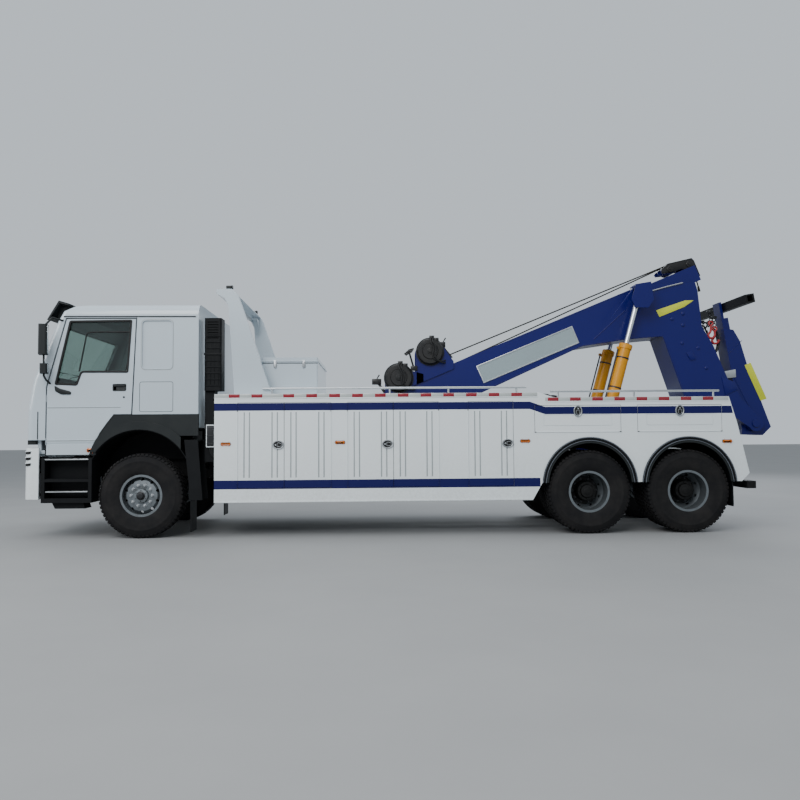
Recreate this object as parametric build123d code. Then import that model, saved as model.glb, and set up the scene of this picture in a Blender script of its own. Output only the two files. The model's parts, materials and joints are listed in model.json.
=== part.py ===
"""A heavy 6x4 tow truck: cab-over chassis, side lockers, and a boom whose tail carries a folding underlift.

Millimetres. +X is forward, +Y is the driver's left, +Z is up, and Z = 0 is the ground under the tyres.
X = 0 is half way between the front of the bumper and the heel of the stowed underlift arm.
"""
import math
import os

from build123d import *

# Axles and wheels
FRONT_AXLE_X = 3765.0
WHEELBASE = 6000.0
TANDEM = 1350.0
REAR_AXLES = {"1": FRONT_AXLE_X - WHEELBASE, "2": FRONT_AXLE_X - WHEELBASE - TANDEM}
TYRE_R = 562.0
AXLE_Z = TYRE_R
TYRE_W = 312.0
TYRE_Y = 1069.0
TWIN_STEP = 350.0
TWIN_MID_Y = TYRE_Y - TWIN_STEP / 2
BEAD_R = 262.0
BEAD_HALF = 105.0
RIM_HALF = 124.0
FLANGE_R = 283.0
KINGPIN_Y = 930.0
KINGPIN_R = 20.0
SPINDLE_R = 60.0
REAR_SPINDLE_R = 75.0
SHAFT_GAP = 0.6
SEAT_GAP = 0.3

# Frame
RAIL_IN = 340.0
RAIL_OUT = 430.0
RAIL_Z0 = 780.0
RAIL_Z1 = 1060.0
RAIL_WEB = 12.0
FRAME_REAR_X = -4380.0
ENGINE_X0 = 3300.0

# Tilt hinge of the cab, on the outer faces of the rails
TILT_X = 5235.0
TILT_Z = 1045.0
TILT_PIN_R = 20.0

# Bumper and steps
BUMPER_X = 5300.0
BUMPER_WALL = 30.0
BUMPER_BACK_X = 5095.0
BUMPER_Z0 = 528.0
BUMPER_Z1 = 1205.0
BUMPER_CORNER_R = 110.0
STEP_X0 = 4400.0
STEP_X1 = 5060.0
STEP_Z0 = 480.0
STEP_Z1 = 1075.0
STEP_IN_Y = 930.0

# Cab
CAB_HALF_W = 1240.0
CAB_WALL = 45.0
CAB_BACK_X = 3005.0
CAB_CORNER_R = 100.0
CAB_FLOOR_Z = 1460.0
FOOTWELL_Z = 1130.0
FOOTWELL_X = 4450.0
FOOTWELL_HALF_W = CAB_HALF_W - CAB_WALL - 30
CAB_ROOF_Z = 3127.0
CAB_NOSE_Z = 1310.0
ROOF_ROUND = 150.0
SKIRT_Z = 1644.0
DOOR_GAP = 6.0
DOOR_FRONT_X = 5003.0
DOOR_PIN_R = 2.6
DOOR_PIN_Y = CAB_HALF_W + 4
GLASS_T = 9.0
# front of the cab, level by level: (z, x)
CAB_LEVELS = [(CAB_NOSE_Z, 5275), (1716, 5272), (2025, 5225), (2130, 5200), (2895, 4897), (3033, 4821), (3101, 4665)]
ARCH_CX = 3780.0
ARCH_CZ = 740.0
ARCH_R = 700.0

# Side bodies with their lockers
BODY_Y = 1250.0
BODY_IN_Y = 640.0
BODY_X0 = 2790.0
BODY_Z0 = 460.0
DECK_Z = 1905.0
REAR_DECK_Z = 1838.0
KNEE_X = -1550.0
KNEE_RUN = 210.0
ARCH_BOTTOM_Z = 690.0
REAR_ARCH_R = 590.0
REAR_ARCH_Z = 655.0
ARCH_TRIM = 55.0
TRIM_PROUD = 15.0
LINER_T = 12.0
LEAF_T = 35.0
LEAF_GAP = 5.0
LEAF_Z0 = 655.0
LEAF_Z1 = 1785.0
LID_Z0 = 1372.0
LID_Z1 = 1725.0
HINGE_OUT = 4.0
HINGE_SIDE = 3.0
HINGE_R = 3.9
LOCKER_LIP = 25.0
LOCKER_DEPTH = 520.0
LID_DEPTH = 330.0
# upright locker leaves: name, front edge x, rear edge x
LEAVES = [("1a", 2480, 1866), ("1b", 1860, 1245), ("2a", 1017, 409), ("2b", 403, -200), ("3", -600, -1204)]
# locker openings behind the leaves: front x, rear x
LOCKERS = [(2480, 1245), (1017, -200), (-600, -1204)]
# drop-down lids above the rear wheels: name, front x, rear x
LIDS = [("front", -1500, -2664), ("rear", -2897, -4043)]

# Boom
PIVOT = (485.0, 1650.0)
PIN_R = 60.0
BOOM_HALF_W = 270.0
BOOM_SLOPE = math.radians(22.4)
INNER_HALF_W = 200.0
INNER_TOP = 30.0
INNER_DEPTH = 240.0
INNER_GAP = 6.0
TOP_LINE = (-1909.0, 2973.0)
DRUM_SHAFT_R = 40.0
# winches: drum axis x, z, and the radius of the frame round it
WINCHES = {"front": (306.0, 2184.0, 215.0), "rear": (-159.0, 2570.0, 205.0)}
DRUM_FLANGE = 0.86
CHEEK_T = 20.0
CHEEK_LAP = 80.0
GEARCASE_T = 65.0
MOTOR_LEN = 105.0
TIE_R = 11.0
HEAD_PLATE_T = 20.0
SHEAVE_R = 78.0
SHEAVE_BAY_Y = 65.0

# Lift cylinders
CYL_FOOT = (-2616.0, 1150.0)
CYL_EYE = (-3243.0, 3390.0)
CYL_Y = 415.0
BARREL_R = 87.0
BRACKET_Y = CYL_Y + BARREL_R + 7
BARREL_LEN = 1559.0
ROD_R = 38.0
ROD_START = 765.0
EYE_R = 65.0

# Underlift, in its own line: s runs up the stowed arm from the fold pin, t runs square to it towards the rear
FOLD_PIN = (-5010.0, 1480.0)
FOLD_PIN_R = 55.0
ARM_LEAN = math.radians(9.25)
ARM_HALF_W = 150.0
STINGER_HALF_W = 105.0
STINGER_GAP = 6.0
STINGER_T0 = -135.0
STINGER_T1 = -35.0
CROSS_S = 1803.0
CROSS_HALF = 830.0

# Light tower and deck box
TOWER_OUT_Y = 1090.0
TOWER_LEG_T = 90.0
BOX_X0 = 1451.0
BOX_X1 = 2232.0
BOX_HALF_W = 830.0
BOX_Z1 = 2437.0

nodes = {}


def block(x0, x1, y0, y1, z0, z1):
    """A plain block between two corners."""
    return Pos((x0 + x1) / 2, (y0 + y1) / 2, (z0 + z1) / 2) * Box(x1 - x0, y1 - y0, z1 - z0)


def outline(start, *steps):
    """A closed flat outline; a step is a point, or a pair: a point on an arc and the arc's end."""
    edges = []
    here = start
    for step in steps + (start,):
        if isinstance(step[0], tuple):
            edges.append(ThreePointArc(here, step[0], step[1]))
            here = step[1]
        elif step != here:
            edges.append(Line(here, step))
            here = step
    return make_face(edges)


def side_plane(y, x=0, z=0):
    """Plane of a side view: its first axis is +X, its second +Z, and it faces -Y."""
    return Plane(origin=(x, y, z), x_dir=(1, 0, 0), z_dir=(0, -1, 0))


def side_prism(face, y0, y1):
    """A side-view outline (x, z) from y0 to y1."""
    return extrude(side_plane(y1) * face, amount=y1 - y0)


def plan_prism(face, z0, z1):
    """A plan outline (x, y) from z0 to z1."""
    return extrude(Plane.XY.offset(z0) * face, amount=z1 - z0)


def end_prism(face, x0, x1):
    """An end-view outline (y, z) from x0 to x1."""
    return extrude(Plane.YZ.offset(x0) * face, amount=x1 - x0)


def disc(x, z, r, y0, y1):
    """A cylinder across the truck."""
    return extrude(side_plane(y1, x, z) * Circle(r), amount=y1 - y0)


def bar(a, b, r):
    """A round bar from a to b."""
    a, b = Vector(*a), Vector(*b)
    return extrude(Plane(origin=a, z_dir=b - a) * Circle(r), amount=(b - a).length)


def turned(profile, x, y, z):
    """A profile of (distance along Y from y, radius) points turned about the cross axis through x, z."""
    face = Plane(origin=(x, y, z), x_dir=(0, 1, 0), z_dir=(1, 0, 0)) * outline(*profile)
    return revolve(face, Axis((x, y, z), (0, 1, 0)), 360)


def flipped(shape):
    """The same shape on the other side of the truck."""
    return mirror(shape, about=Plane.XZ)


def both(shape):
    """A left-hand shape and its right-hand twin."""
    return [shape, flipped(shape)]


def keep(name, *shapes):
    """Store the solids of one node."""
    solids = []
    for shape in shapes:
        for item in shape if isinstance(shape, (list, tuple)) else [shape]:
            solids.extend(item.solids())
    nodes[name] = solids


def top_line_z(x):
    """Height of the boom's upper edge line at x."""
    return TOP_LINE[1] + math.tan(BOOM_SLOPE) * (TOP_LINE[0] - x)


def below_top(x, d):
    """Point a distance d below the boom's upper edge, measured square to it, near x."""
    return (x - d * math.sin(BOOM_SLOPE), top_line_z(x) - d * math.cos(BOOM_SLOPE))


def arm_point(s, t):
    """World (x, z) of a place on the stowed underlift arm."""
    x = FOLD_PIN[0] + s * math.sin(ARM_LEAN) - t * math.cos(ARM_LEAN)
    z = FOLD_PIN[1] + s * math.cos(ARM_LEAN) + t * math.sin(ARM_LEAN)
    return (x, z)


def arm_outline(*places):
    """A closed outline given in the arm's own (s, t)."""
    return outline(*[arm_point(s, t) for s, t in places])


# Wheels: tyre section and rim sections as (distance from the middle, radius)
TYRE_SECTION = [(-BEAD_HALF, BEAD_R), (-125, 300), (-TYRE_W / 2, 400), (-148, 515), (-122, TYRE_R),
                (122, TYRE_R), (148, 515), (TYRE_W / 2, 400), (125, 300), (BEAD_HALF, BEAD_R)]


def barrel_section(mid, seat_r=BEAD_R - SEAT_GAP):
    """Closed section of one rim barrel with its two flanges."""
    w = RIM_HALF
    foot = BEAD_HALF + 2 * SEAT_GAP
    tip = w - 7
    return [(mid - w, FLANGE_R), (mid - w, 250), (mid + w, 250), (mid + w, FLANGE_R), (mid + tip, FLANGE_R),
            (mid + foot, seat_r), (mid - foot, seat_r), (mid - tip, FLANGE_R)]


def hand_holes(x, count, pitch_r, hole_r, y0, y1):
    """Ring of round holes through a wheel disc."""
    holes = []
    for i in range(count):
        a = math.radians(360 / count * (i + 0.5))
        holes.append(disc(x + pitch_r * math.cos(a), AXLE_Z + pitch_r * math.sin(a), hole_r, y0, y1))
    return holes


def front_wheel():
    x = FRONT_AXLE_X
    tyre = turned(TYRE_SECTION, x, TYRE_Y, AXLE_Z)
    rim = turned(barrel_section(0), x, TYRE_Y, AXLE_Z)
    dish = [(-69, 0), (-69, 105), (62, 118), (62, 190), (4, 250.5), (26, 250.5), (84, 205), (92, 150), (92, 98),
            (132, 88), (136, 60), (136, 0)]
    rim += turned(dish, x, TYRE_Y, AXLE_Z)
    rim -= disc(x, AXLE_Z, SPINDLE_R + SHAFT_GAP, TYRE_Y - 80, TYRE_Y + 56)
    for hole in hand_holes(x, 10, 216, 21, TYRE_Y, TYRE_Y + 100):
        rim -= hole
    return tyre, rim


def rear_wheel(x):
    tyres = [turned(TYRE_SECTION, x, y, AXLE_Z) for y in (TYRE_Y, TYRE_Y - TWIN_STEP)]
    half = TWIN_STEP / 2
    rim = turned(barrel_section(half), x, TWIN_MID_Y, AXLE_Z) + turned(barrel_section(-half), x, TWIN_MID_Y, AXLE_Z)
    outer = [(0, 100), (0, 205), (68, 250.5), (92, 250.5), (22, 190), (22, 135), (150, 125), (172, 122), (172, 92),
             (205, 82), (210, 50), (210, 0), (160, 0), (160, 100)]
    rim += turned(outer, x, TWIN_MID_Y, AXLE_Z)
    inner = [(0, 100), (0, 205), (-68, 250.5), (-92, 250.5), (-30, 200), (-210, 200), (-210, 180), (-30, 180),
             (-30, 100)]
    rim += turned(inner, x, TWIN_MID_Y, AXLE_Z)
    rim += turned([(-30, 100), (-30, REAR_SPINDLE_R + SHAFT_GAP), (160, REAR_SPINDLE_R + SHAFT_GAP), (160, 100)],
                  x, TWIN_MID_Y, AXLE_Z)
    for hole in hand_holes(x, 8, 222, 20, TWIN_MID_Y - 60, TWIN_MID_Y + 60):
        rim -= hole
    return tyres, rim


def wheels():
    tyre, rim = front_wheel()
    keep("tyre_front_left", tyre)
    keep("tyre_front_right", flipped(tyre))
    keep("rim_front_left", rim)
    keep("rim_front_right", flipped(rim))
    for number, x in REAR_AXLES.items():
        tyres, rim = rear_wheel(x)
        keep(f"tyres_rear_{number}_left", tyres)
        keep(f"tyres_rear_{number}_right", [flipped(t) for t in tyres])
        keep(f"rim_rear_{number}_left", rim)
        keep(f"rim_rear_{number}_right", flipped(rim))


def knuckles():
    """Fork round the axle's end, with the kingpin through it and the wheel's spindle on it."""
    x = FRONT_AXLE_X
    web = block(x - 60, x + 60, KINGPIN_Y + 42, KINGPIN_Y + 62, AXLE_Z - 95, AXLE_Z + 95)
    fork = web
    for z in (AXLE_Z + 66, AXLE_Z - 95):
        fork += block(x - 42, x + 42, KINGPIN_Y - 40, KINGPIN_Y + 50, z, z + 29)
    fork += Pos(x, KINGPIN_Y, AXLE_Z) * Cylinder(KINGPIN_R, 188)
    fork += disc(x, AXLE_Z, SPINDLE_R, KINGPIN_Y + 60, TYRE_Y + 50)
    keep("knuckle_left", fork)
    keep("knuckle_right", flipped(fork))


def axles():
    """Front drop beam, two banjo housings, leaf springs and propeller shafts."""
    x = FRONT_AXLE_X
    drop = outline((-KINGPIN_Y, 505), (-KINGPIN_Y, 620), (-620, 590), (-540, 560), (540, 560), (620, 590),
                   (KINGPIN_Y, 620), (KINGPIN_Y, 505), (600, 480), (540, 450), (-540, 450), (-600, 480))
    beam = end_prism(drop, x - 45, x + 45)
    for y in (KINGPIN_Y, -KINGPIN_Y):
        beam += Pos(x, y, AXLE_Z) * Cylinder(36, 122)
        beam -= Pos(x, y, AXLE_Z) * Cylinder(KINGPIN_R + 1, 200)
    pieces = [beam]
    nose = {}
    for number, rear_x in REAR_AXLES.items():
        housing = disc(rear_x, AXLE_Z, REAR_SPINDLE_R, -TWIN_MID_Y - 145, TWIN_MID_Y + 145)
        housing += Pos(rear_x, 0, AXLE_Z) * Sphere(215)
        housing += bar((rear_x, 0, AXLE_Z + 60), (rear_x + 330, 0, AXLE_Z + 90), 70)
        nose[number] = (rear_x + 330, 0, AXLE_Z + 90)
        pieces.append(housing)
    for y in (385, -385):
        spring = outline((x - 720, 752), (x - 60, 640), (x + 60, 640), (x + 720, 752), (x + 720, 764), (x + 60, 715),
                         (x - 60, 715), (x - 720, 764))
        pack = side_prism(spring, y - 40, y + 40)
        pack += block(x - 60, x + 60, y - 45, y + 45, 560.5, 641)
        pieces.append(pack)
    mid = sum(REAR_AXLES.values()) / 2
    for y in (485, -485):
        spring = outline((REAR_AXLES["2"] - 60, 660), (mid - 90, 800), (mid + 90, 800), (REAR_AXLES["1"] + 60, 660),
                         (REAR_AXLES["1"] + 60, 690), (mid + 90, 905), (mid - 90, 905), (REAR_AXLES["2"] - 60, 690))
        pack = side_prism(spring, y - 40, y + 40)
        for rear_x in REAR_AXLES.values():
            pack += block(rear_x - 50, rear_x + 50, y - 40, y + 40, AXLE_Z + REAR_SPINDLE_R + SEAT_GAP, 670)
        pieces.append(pack)
    shaft = bar((ENGINE_X0 + 20, 0, 790), nose["1"], 55) - block(ENGINE_X0, ENGINE_X0 + 60, -80, 80, 650, 900)
    pieces[1] += shaft
    pieces[1] += bar((REAR_AXLES["1"] - 150, 0, AXLE_Z + 60), nose["2"], 45)
    pieces[1] += pieces.pop(2)
    keep("axles", pieces)


def frame_rails():
    """Two channel rails, their cross-members, spring hangers, outriggers and the rear step beam."""
    rails = None
    for sign in (1, -1):
        web = block(FRAME_REAR_X, BUMPER_X - BUMPER_WALL, *sorted((sign * RAIL_OUT, sign * RAIL_IN)), RAIL_Z0, RAIL_Z1)
        web -= block(FRAME_REAR_X - 1, BUMPER_X, *sorted((sign * (RAIL_OUT - RAIL_WEB), sign * (RAIL_IN - 1))),
                     RAIL_Z0 + RAIL_WEB, RAIL_Z1 - RAIL_WEB)
        rails = web if rails is None else rails + web
    for x in (4850, 2700, 1500, 300, -900, -2000):
        rails += block(x - 50, x + 50, -RAIL_OUT + 5, RAIL_OUT - 5, RAIL_Z0 + 85, RAIL_Z1 - 45)
    mid = sum(REAR_AXLES.values()) / 2
    rails += block(mid - 80, mid + 80, -RAIL_OUT + 5, RAIL_OUT - 5, RAIL_Z0 + 85, RAIL_Z1 - 45)
    for x in (2400, 1100, -400, -1500, mid, -4250):
        for sign in (1, -1):
            rails += block(x - 40, x + 40, *sorted((sign * (RAIL_OUT - 5), sign * BODY_IN_Y)), 950, RAIL_Z1)
    for sign in (1, -1):
        for x in (FRONT_AXLE_X - 700, FRONT_AXLE_X + 700):
            rails += block(x - 50, x + 50, *sorted((sign * RAIL_IN, sign * RAIL_OUT)), 764, RAIL_Z0 + 1)
        rails += block(mid - 60, mid + 60, *sorted((sign * (RAIL_OUT - 5), sign * 520)), 905, 1000)
        rails += block(FRAME_REAR_X, -4300, *sorted((sign * RAIL_IN, sign * RAIL_OUT)), 640, RAIL_Z0 + 1)
        rails += block(-4500, FRAME_REAR_X, *sorted((sign * RAIL_IN, sign * 1230)), 590, 690)
        rails += block(4680, 4740, *sorted((sign * (RAIL_OUT - 5), sign * STEP_IN_Y)), 850, 910)
        rails += block(3040, 3080, *sorted((sign * (RAIL_OUT - 5), sign * 900)), 900, 950)
        rails += disc(TILT_X, TILT_Z, TILT_PIN_R, *sorted((sign * (RAIL_OUT - 5), sign * (RAIL_OUT + 42))))
        rails += block(3060, 3140, *sorted((sign * (RAIL_IN + 5), sign * (RAIL_OUT - 5))), RAIL_Z1 - 5,
                       CAB_FLOOR_Z - SEAT_GAP)
        rails += block(2840, 2940, *sorted((sign * (RAIL_OUT - 5), sign * 900)), 960, 1000)
    keep("frame_rails", rails)


def engine():
    """One plain mass at the engine's and gearbox's place, carried between the rails."""
    keep("engine_block", block(ENGINE_X0, 4390, -RAIL_IN, RAIL_IN, 700, 1435))


def front_bumper():
    """Hollow pressed bumper with round-cornered ends and two headlamp pockets."""
    half = CAB_HALF_W

    def plan(inset):
        x1 = BUMPER_X - inset
        y1 = half - inset
        c = BUMPER_CORNER_R - 5 / 3 * inset
        k = c * (1 - math.sqrt(0.5))
        return outline((BUMPER_BACK_X - inset, -y1), (x1 - c, -y1), ((x1 - k, -y1 + k), (x1, -y1 + c)), (x1, y1 - c),
                       ((x1 - k, y1 - k), (x1 - c, y1)), (BUMPER_BACK_X - inset, y1))

    shell = plan_prism(plan(0), BUMPER_Z0, BUMPER_Z1)
    shell -= plan_prism(plan(BUMPER_WALL), BUMPER_Z0 + BUMPER_WALL, BUMPER_Z1 + 1)
    for sign in (1, -1):
        shell -= block(BUMPER_X - 120, BUMPER_X + 1, *sorted((sign * 720, sign * 1110)), 860, 1090)
    shell -= block(BUMPER_X - 60, BUMPER_X + 1, -560, 560, 600, 740)
    keep("front_bumper", shell)


def guards_and_steps():
    """Step boxes ahead of the front wheels, guards and flaps behind them, rear arch trims and rear flaps."""
    step = block(STEP_X0, STEP_X1, STEP_IN_Y, CAB_HALF_W, STEP_Z0, STEP_Z1)
    step -= block(STEP_X0 + 45, STEP_X1 - 45, STEP_IN_Y + 130, CAB_HALF_W + 1, 790, STEP_Z1 - 35)
    step -= block(STEP_X0 + 45, STEP_X1 - 45, STEP_IN_Y + 90, CAB_HALF_W + 1, STEP_Z0 + 60, 755)
    tank = outline((4500, 400), (4530, STEP_Z0 + 1), (4940, STEP_Z0 + 1), (4900, 400))
    step += side_prism(tank, 960, 1180)
    guard = outline((3190, 1300), (3125, 700), (3125, 500), (2945, 500), (3010, 1300))
    guard_y = (TYRE_Y - TYRE_W / 2 - 13, CAB_HALF_W - 5)
    guard = side_prism(guard, *guard_y)
    pocket = outline((3170, 1280), (3105, 700), (3105, 480), (2900, 480), (2900, 1280))
    guard -= side_prism(pocket, guard_y[0] + 15, guard_y[1] - 15)
    guard += block(3095, 3107, guard_y[0] + 15, guard_y[1] - 15, 80, 520)
    arch_pieces = []
    for x in REAR_AXLES.values():
        outer = REAR_ARCH_R + ARCH_TRIM
        ring = disc(x, REAR_ARCH_Z, outer, BODY_Y - 1, BODY_Y + TRIM_PROUD) - disc(x, REAR_ARCH_Z, REAR_ARCH_R,
                                                                                  BODY_Y - 5, BODY_Y + 30)
        ring -= block(x - 800, x + 800, BODY_Y - 5, BODY_Y + 30, -200, ARCH_BOTTOM_Z)
        ring -= block(x - 800, x + 800, BODY_Y - 5, BODY_Y + SEAT_GAP, 0, 2000)
        arch_pieces.append(ring)
    flap = block(-4190, -4178, 600, 1225, 350, ARCH_BOTTOM_Z - SEAT_GAP)
    pieces = [step, guard, flap] + arch_pieces
    keep("guards_and_steps", pieces, [flipped(p) for p in pieces])


def arch_liners():
    """Black liners of the rear wheel arches, open below, with an end plate that clears the tyres."""
    liners = []
    for x in REAR_AXLES.values():
        liner = disc(x, REAR_ARCH_Z, REAR_ARCH_R - SEAT_GAP, BODY_IN_Y, BODY_Y - 1)
        liner -= disc(x, REAR_ARCH_Z, REAR_ARCH_R - LINER_T, BODY_IN_Y + LINER_T, BODY_Y)
        liner -= disc(x, AXLE_Z, TYRE_R + LINER_T, BODY_IN_Y - 1, BODY_IN_Y + LINER_T + 1)
        liner -= block(x - 800, x + 800, BODY_IN_Y - 1, BODY_Y, -200, ARCH_BOTTOM_Z)
        liners.append(liner)
    keep("arch_liners", liners, [flipped(liner) for liner in liners])


def cab_form(inset):
    """The cab's outside shape, or the space inside it when inset by a wall."""
    half = CAB_HALF_W - inset
    r = CAB_CORNER_R - 0.5 * inset
    k = r * (1 - math.sqrt(0.5))
    back = CAB_BACK_X + inset
    long_back = back - 900

    def plan(x1):
        return outline((long_back, -half), (x1 - r, -half), ((x1 - k, -half + k), (x1, -half + r)), (x1, half - r),
                       ((x1 - k, half - k), (x1 - r, half)), (long_back, half))

    levels = [(z, x - inset * 1.05) for z, x in CAB_LEVELS]
    roof = CAB_ROOF_Z - inset
    levels.append((roof, levels[-1][1] - 220))
    form = None
    for (z0, x0), (z1, x1) in zip(levels, levels[1:]):
        rise = Vector(x1 - x0, 0, min(z1, roof) - z0)
        slab = extrude(Plane.XY.offset(z0) * plan(x0), amount=rise.length, dir=rise.normalized())
        form = slab if form is None else form + slab
    low_x = levels[0][1]
    form += plan_prism(plan(low_x), CAB_NOSE_Z - 400, CAB_NOSE_Z)
    form -= block(back - 2500, back, -2000, 2000, 0, 4000)
    round_r = ROOF_ROUND - 0.5 * inset
    for sign in (1, -1):
        q = round_r * (1 - math.sqrt(0.5))
        edge = outline((sign * half, roof - round_r), ((sign * (half - q), roof - q), (sign * (half - round_r), roof)),
                       (sign * (half - round_r), roof + 50), (sign * (half + 50), roof + 50),
                       (sign * (half + 50), roof - round_r))
        form -= end_prism(edge, 2000, 5400)
    return form


def arch_line():
    """The white panel's lower edge over the front wheel, as points of a side view."""
    return (4437, 1110), (4300, 1400), (4120, SKIRT_Z)


def door_face(grow=0.0):
    """Side-view outline of a cab door, grown all round by a gap."""
    low, mid, high = arch_line()
    g = grow
    return outline((DOOR_FRONT_X + g, 1110 - g), (low[0] - g, low[1] - g), ((mid[0] - g, mid[1] - g), (high[0] - g, high[1] - g)),
                   (3887 - g, SKIRT_Z - g), (3833 - g, 2925 + g), (4752 + g, 2925 + g), (4768 + g, 2870 + g),
                   (DOOR_FRONT_X + g, 2005 + g))


def window_face(grow=0.0):
    """Side-view outline of the stepped door window."""
    g = grow
    return outline((4701 + g, 2888 + g), (3898 - g, 2898 + g), (3945 - g, 2212 - g), (4548 - g, 2216 - g),
                   (4612 - g, 2042 - g), (4887 + g, 2057 - g))


def cab():
    outer = cab_form(0)
    hollow = cab_form(CAB_WALL)
    floor_top = CAB_FLOOR_Z + CAB_WALL
    hollow -= block(2900, FOOTWELL_X, -1300, 1300, 0, floor_top)
    hollow -= block(2900, 5400, -1300, 1300, 0, FOOTWELL_Z + CAB_WALL)
    hollow -= block(5140 - CAB_WALL, 5400, -1300, 1300, 0, CAB_NOSE_Z + CAB_WALL)
    shell = outer - hollow
    shell -= block(2900, FOOTWELL_X - CAB_WALL, -1300, 1300, 0, CAB_FLOOR_Z)
    shell -= block(2900, 5400, -1300, 1300, 0, FOOTWELL_Z)
    shell -= block(5140, 5400, -1300, 1300, 0, CAB_NOSE_Z)
    low, mid, high = arch_line()
    skirt = outline((2900, 900), (2900, SKIRT_Z), high, (mid, low), (low[0], 900))
    for sign in (1, -1):
        side = sorted((sign * (CAB_HALF_W - CAB_WALL), sign * (CAB_HALF_W + 60)))
        shell -= side_prism(skirt, *side)
        shell -= side_prism(door_face(DOOR_GAP), *side)
        shell -= block(FOOTWELL_X - 500, 5400, *sorted((sign * FOOTWELL_HALF_W, sign * (CAB_HALF_W + 60))),
                       0, CAB_NOSE_Z)
        panel = RectangleRounded(400, 650, 50)
        shell -= side_prism(Pos(3553, 2574) * panel, *sorted((sign * (CAB_HALF_W - 14), sign * (CAB_HALF_W + 10))))
        hatch = RectangleRounded(446, 404, 30) - RectangleRounded(434, 392, 24)
        shell -= side_prism(Pos(3561, 1876) * hatch, *sorted((sign * (CAB_HALF_W - 6), sign * (CAB_HALF_W + 10))))
    shell -= block(4600, 5400, -1080, 1080, 2190, 2850)
    lug = outline((TILT_X - 18, TILT_Z - 24), ((TILT_X + 28, TILT_Z), (TILT_X + 10, TILT_Z + 26)), (5139, 1178),
                  (5139, FOOTWELL_Z + 5))
    lug = side_prism(lug, RAIL_OUT + 6, RAIL_OUT + 36)
    lug -= disc(TILT_X, TILT_Z, TILT_PIN_R + SHAFT_GAP, RAIL_OUT, RAIL_OUT + 50)
    shell += lug + block(5100, 5139, RAIL_OUT + 6, RAIL_OUT + 36, FOOTWELL_Z + 5, 1178)
    shell += flipped(lug) + block(5100, 5139, -RAIL_OUT - 36, -RAIL_OUT - 6, FOOTWELL_Z + 5, 1178)
    keep("cab_shell", shell)
    seat = block(4600, 5400, -1080 + SEAT_GAP, 1080 - SEAT_GAP, 2190 + SEAT_GAP, 2850 - SEAT_GAP)
    pane = (outer & seat) - Pos(-GLASS_T / math.cos(BOOM_SLOPE), 0, 0) * outer
    keep("windscreen", pane)
    doors()
    cab_trim()
    cab_interior(floor_top)


def doors():
    """Cab doors as thick as the cab's side wall, each with its glass and mirror."""
    inner_y = CAB_HALF_W - CAB_WALL + SEAT_GAP
    door = side_prism(door_face(), inner_y, CAB_HALF_W)
    door -= side_prism(window_face(), inner_y - 10, CAB_HALF_W + 10)
    door -= side_prism(Pos(4022, 2006) * RectangleRounded(132, 90, 18), CAB_HALF_W - 18, CAB_HALF_W + 10)
    crease = outline((4300, 1250), (5010, 1250), (5010, 1273), (4300, 1273))
    door -= side_prism(crease, CAB_HALF_W - 5, CAB_HALF_W + 10)
    pin_x = DOOR_FRONT_X + DOOR_GAP / 2
    for z in (1290, 1860):
        door += Pos(pin_x, DOOR_PIN_Y, z) * Cylinder(DOOR_PIN_R, 90)
        door += block(DOOR_FRONT_X - 1, pin_x, CAB_HALF_W - 4, DOOR_PIN_Y, z - 45, z + 45)
    glass_y = CAB_HALF_W - 24
    glass = side_prism(window_face(-SEAT_GAP), glass_y - 6, glass_y)
    # mirror: arm points, then the two housings on it
    mirror_y = CAB_HALF_W + 160
    arm = [(4800, CAB_HALF_W - 4, 2900), (4905, CAB_HALF_W + 90, 2925), (4985, mirror_y, 2800),
           (4975, mirror_y, 2150), (4985, CAB_HALF_W + 60, 2100), (4960, CAB_HALF_W - 4, 2060)]
    mirror_set = None
    for a, b in zip(arm, arm[1:]):
        piece = bar(a, b, 13) + Pos(*b) * Sphere(13)
        mirror_set = piece if mirror_set is None else mirror_set + piece
    mirror_set -= block(4500, 5200, CAB_HALF_W - 140, CAB_HALF_W + SEAT_GAP, 1900, 3100)
    housing = Pos(4988, mirror_y, 2626) * Rot(0, 0, 18) * Box(110, 190, 396)
    housing = fillet(housing.edges().filter_by(Axis.Z), 30)
    wide = Pos(4972, mirror_y, 2244) * Rot(0, 0, 18) * Box(96, 180, 130)
    wide = fillet(wide.edges().filter_by(Axis.Z), 28)
    mirror_set += housing
    mirror_set += wide
    for side, place in (("left", lambda s: s), ("right", flipped)):
        keep(f"door_{side}", place(door))
        keep(f"door_glass_{side}", place(glass))
        keep(f"mirror_{side}", place(mirror_set))


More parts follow.
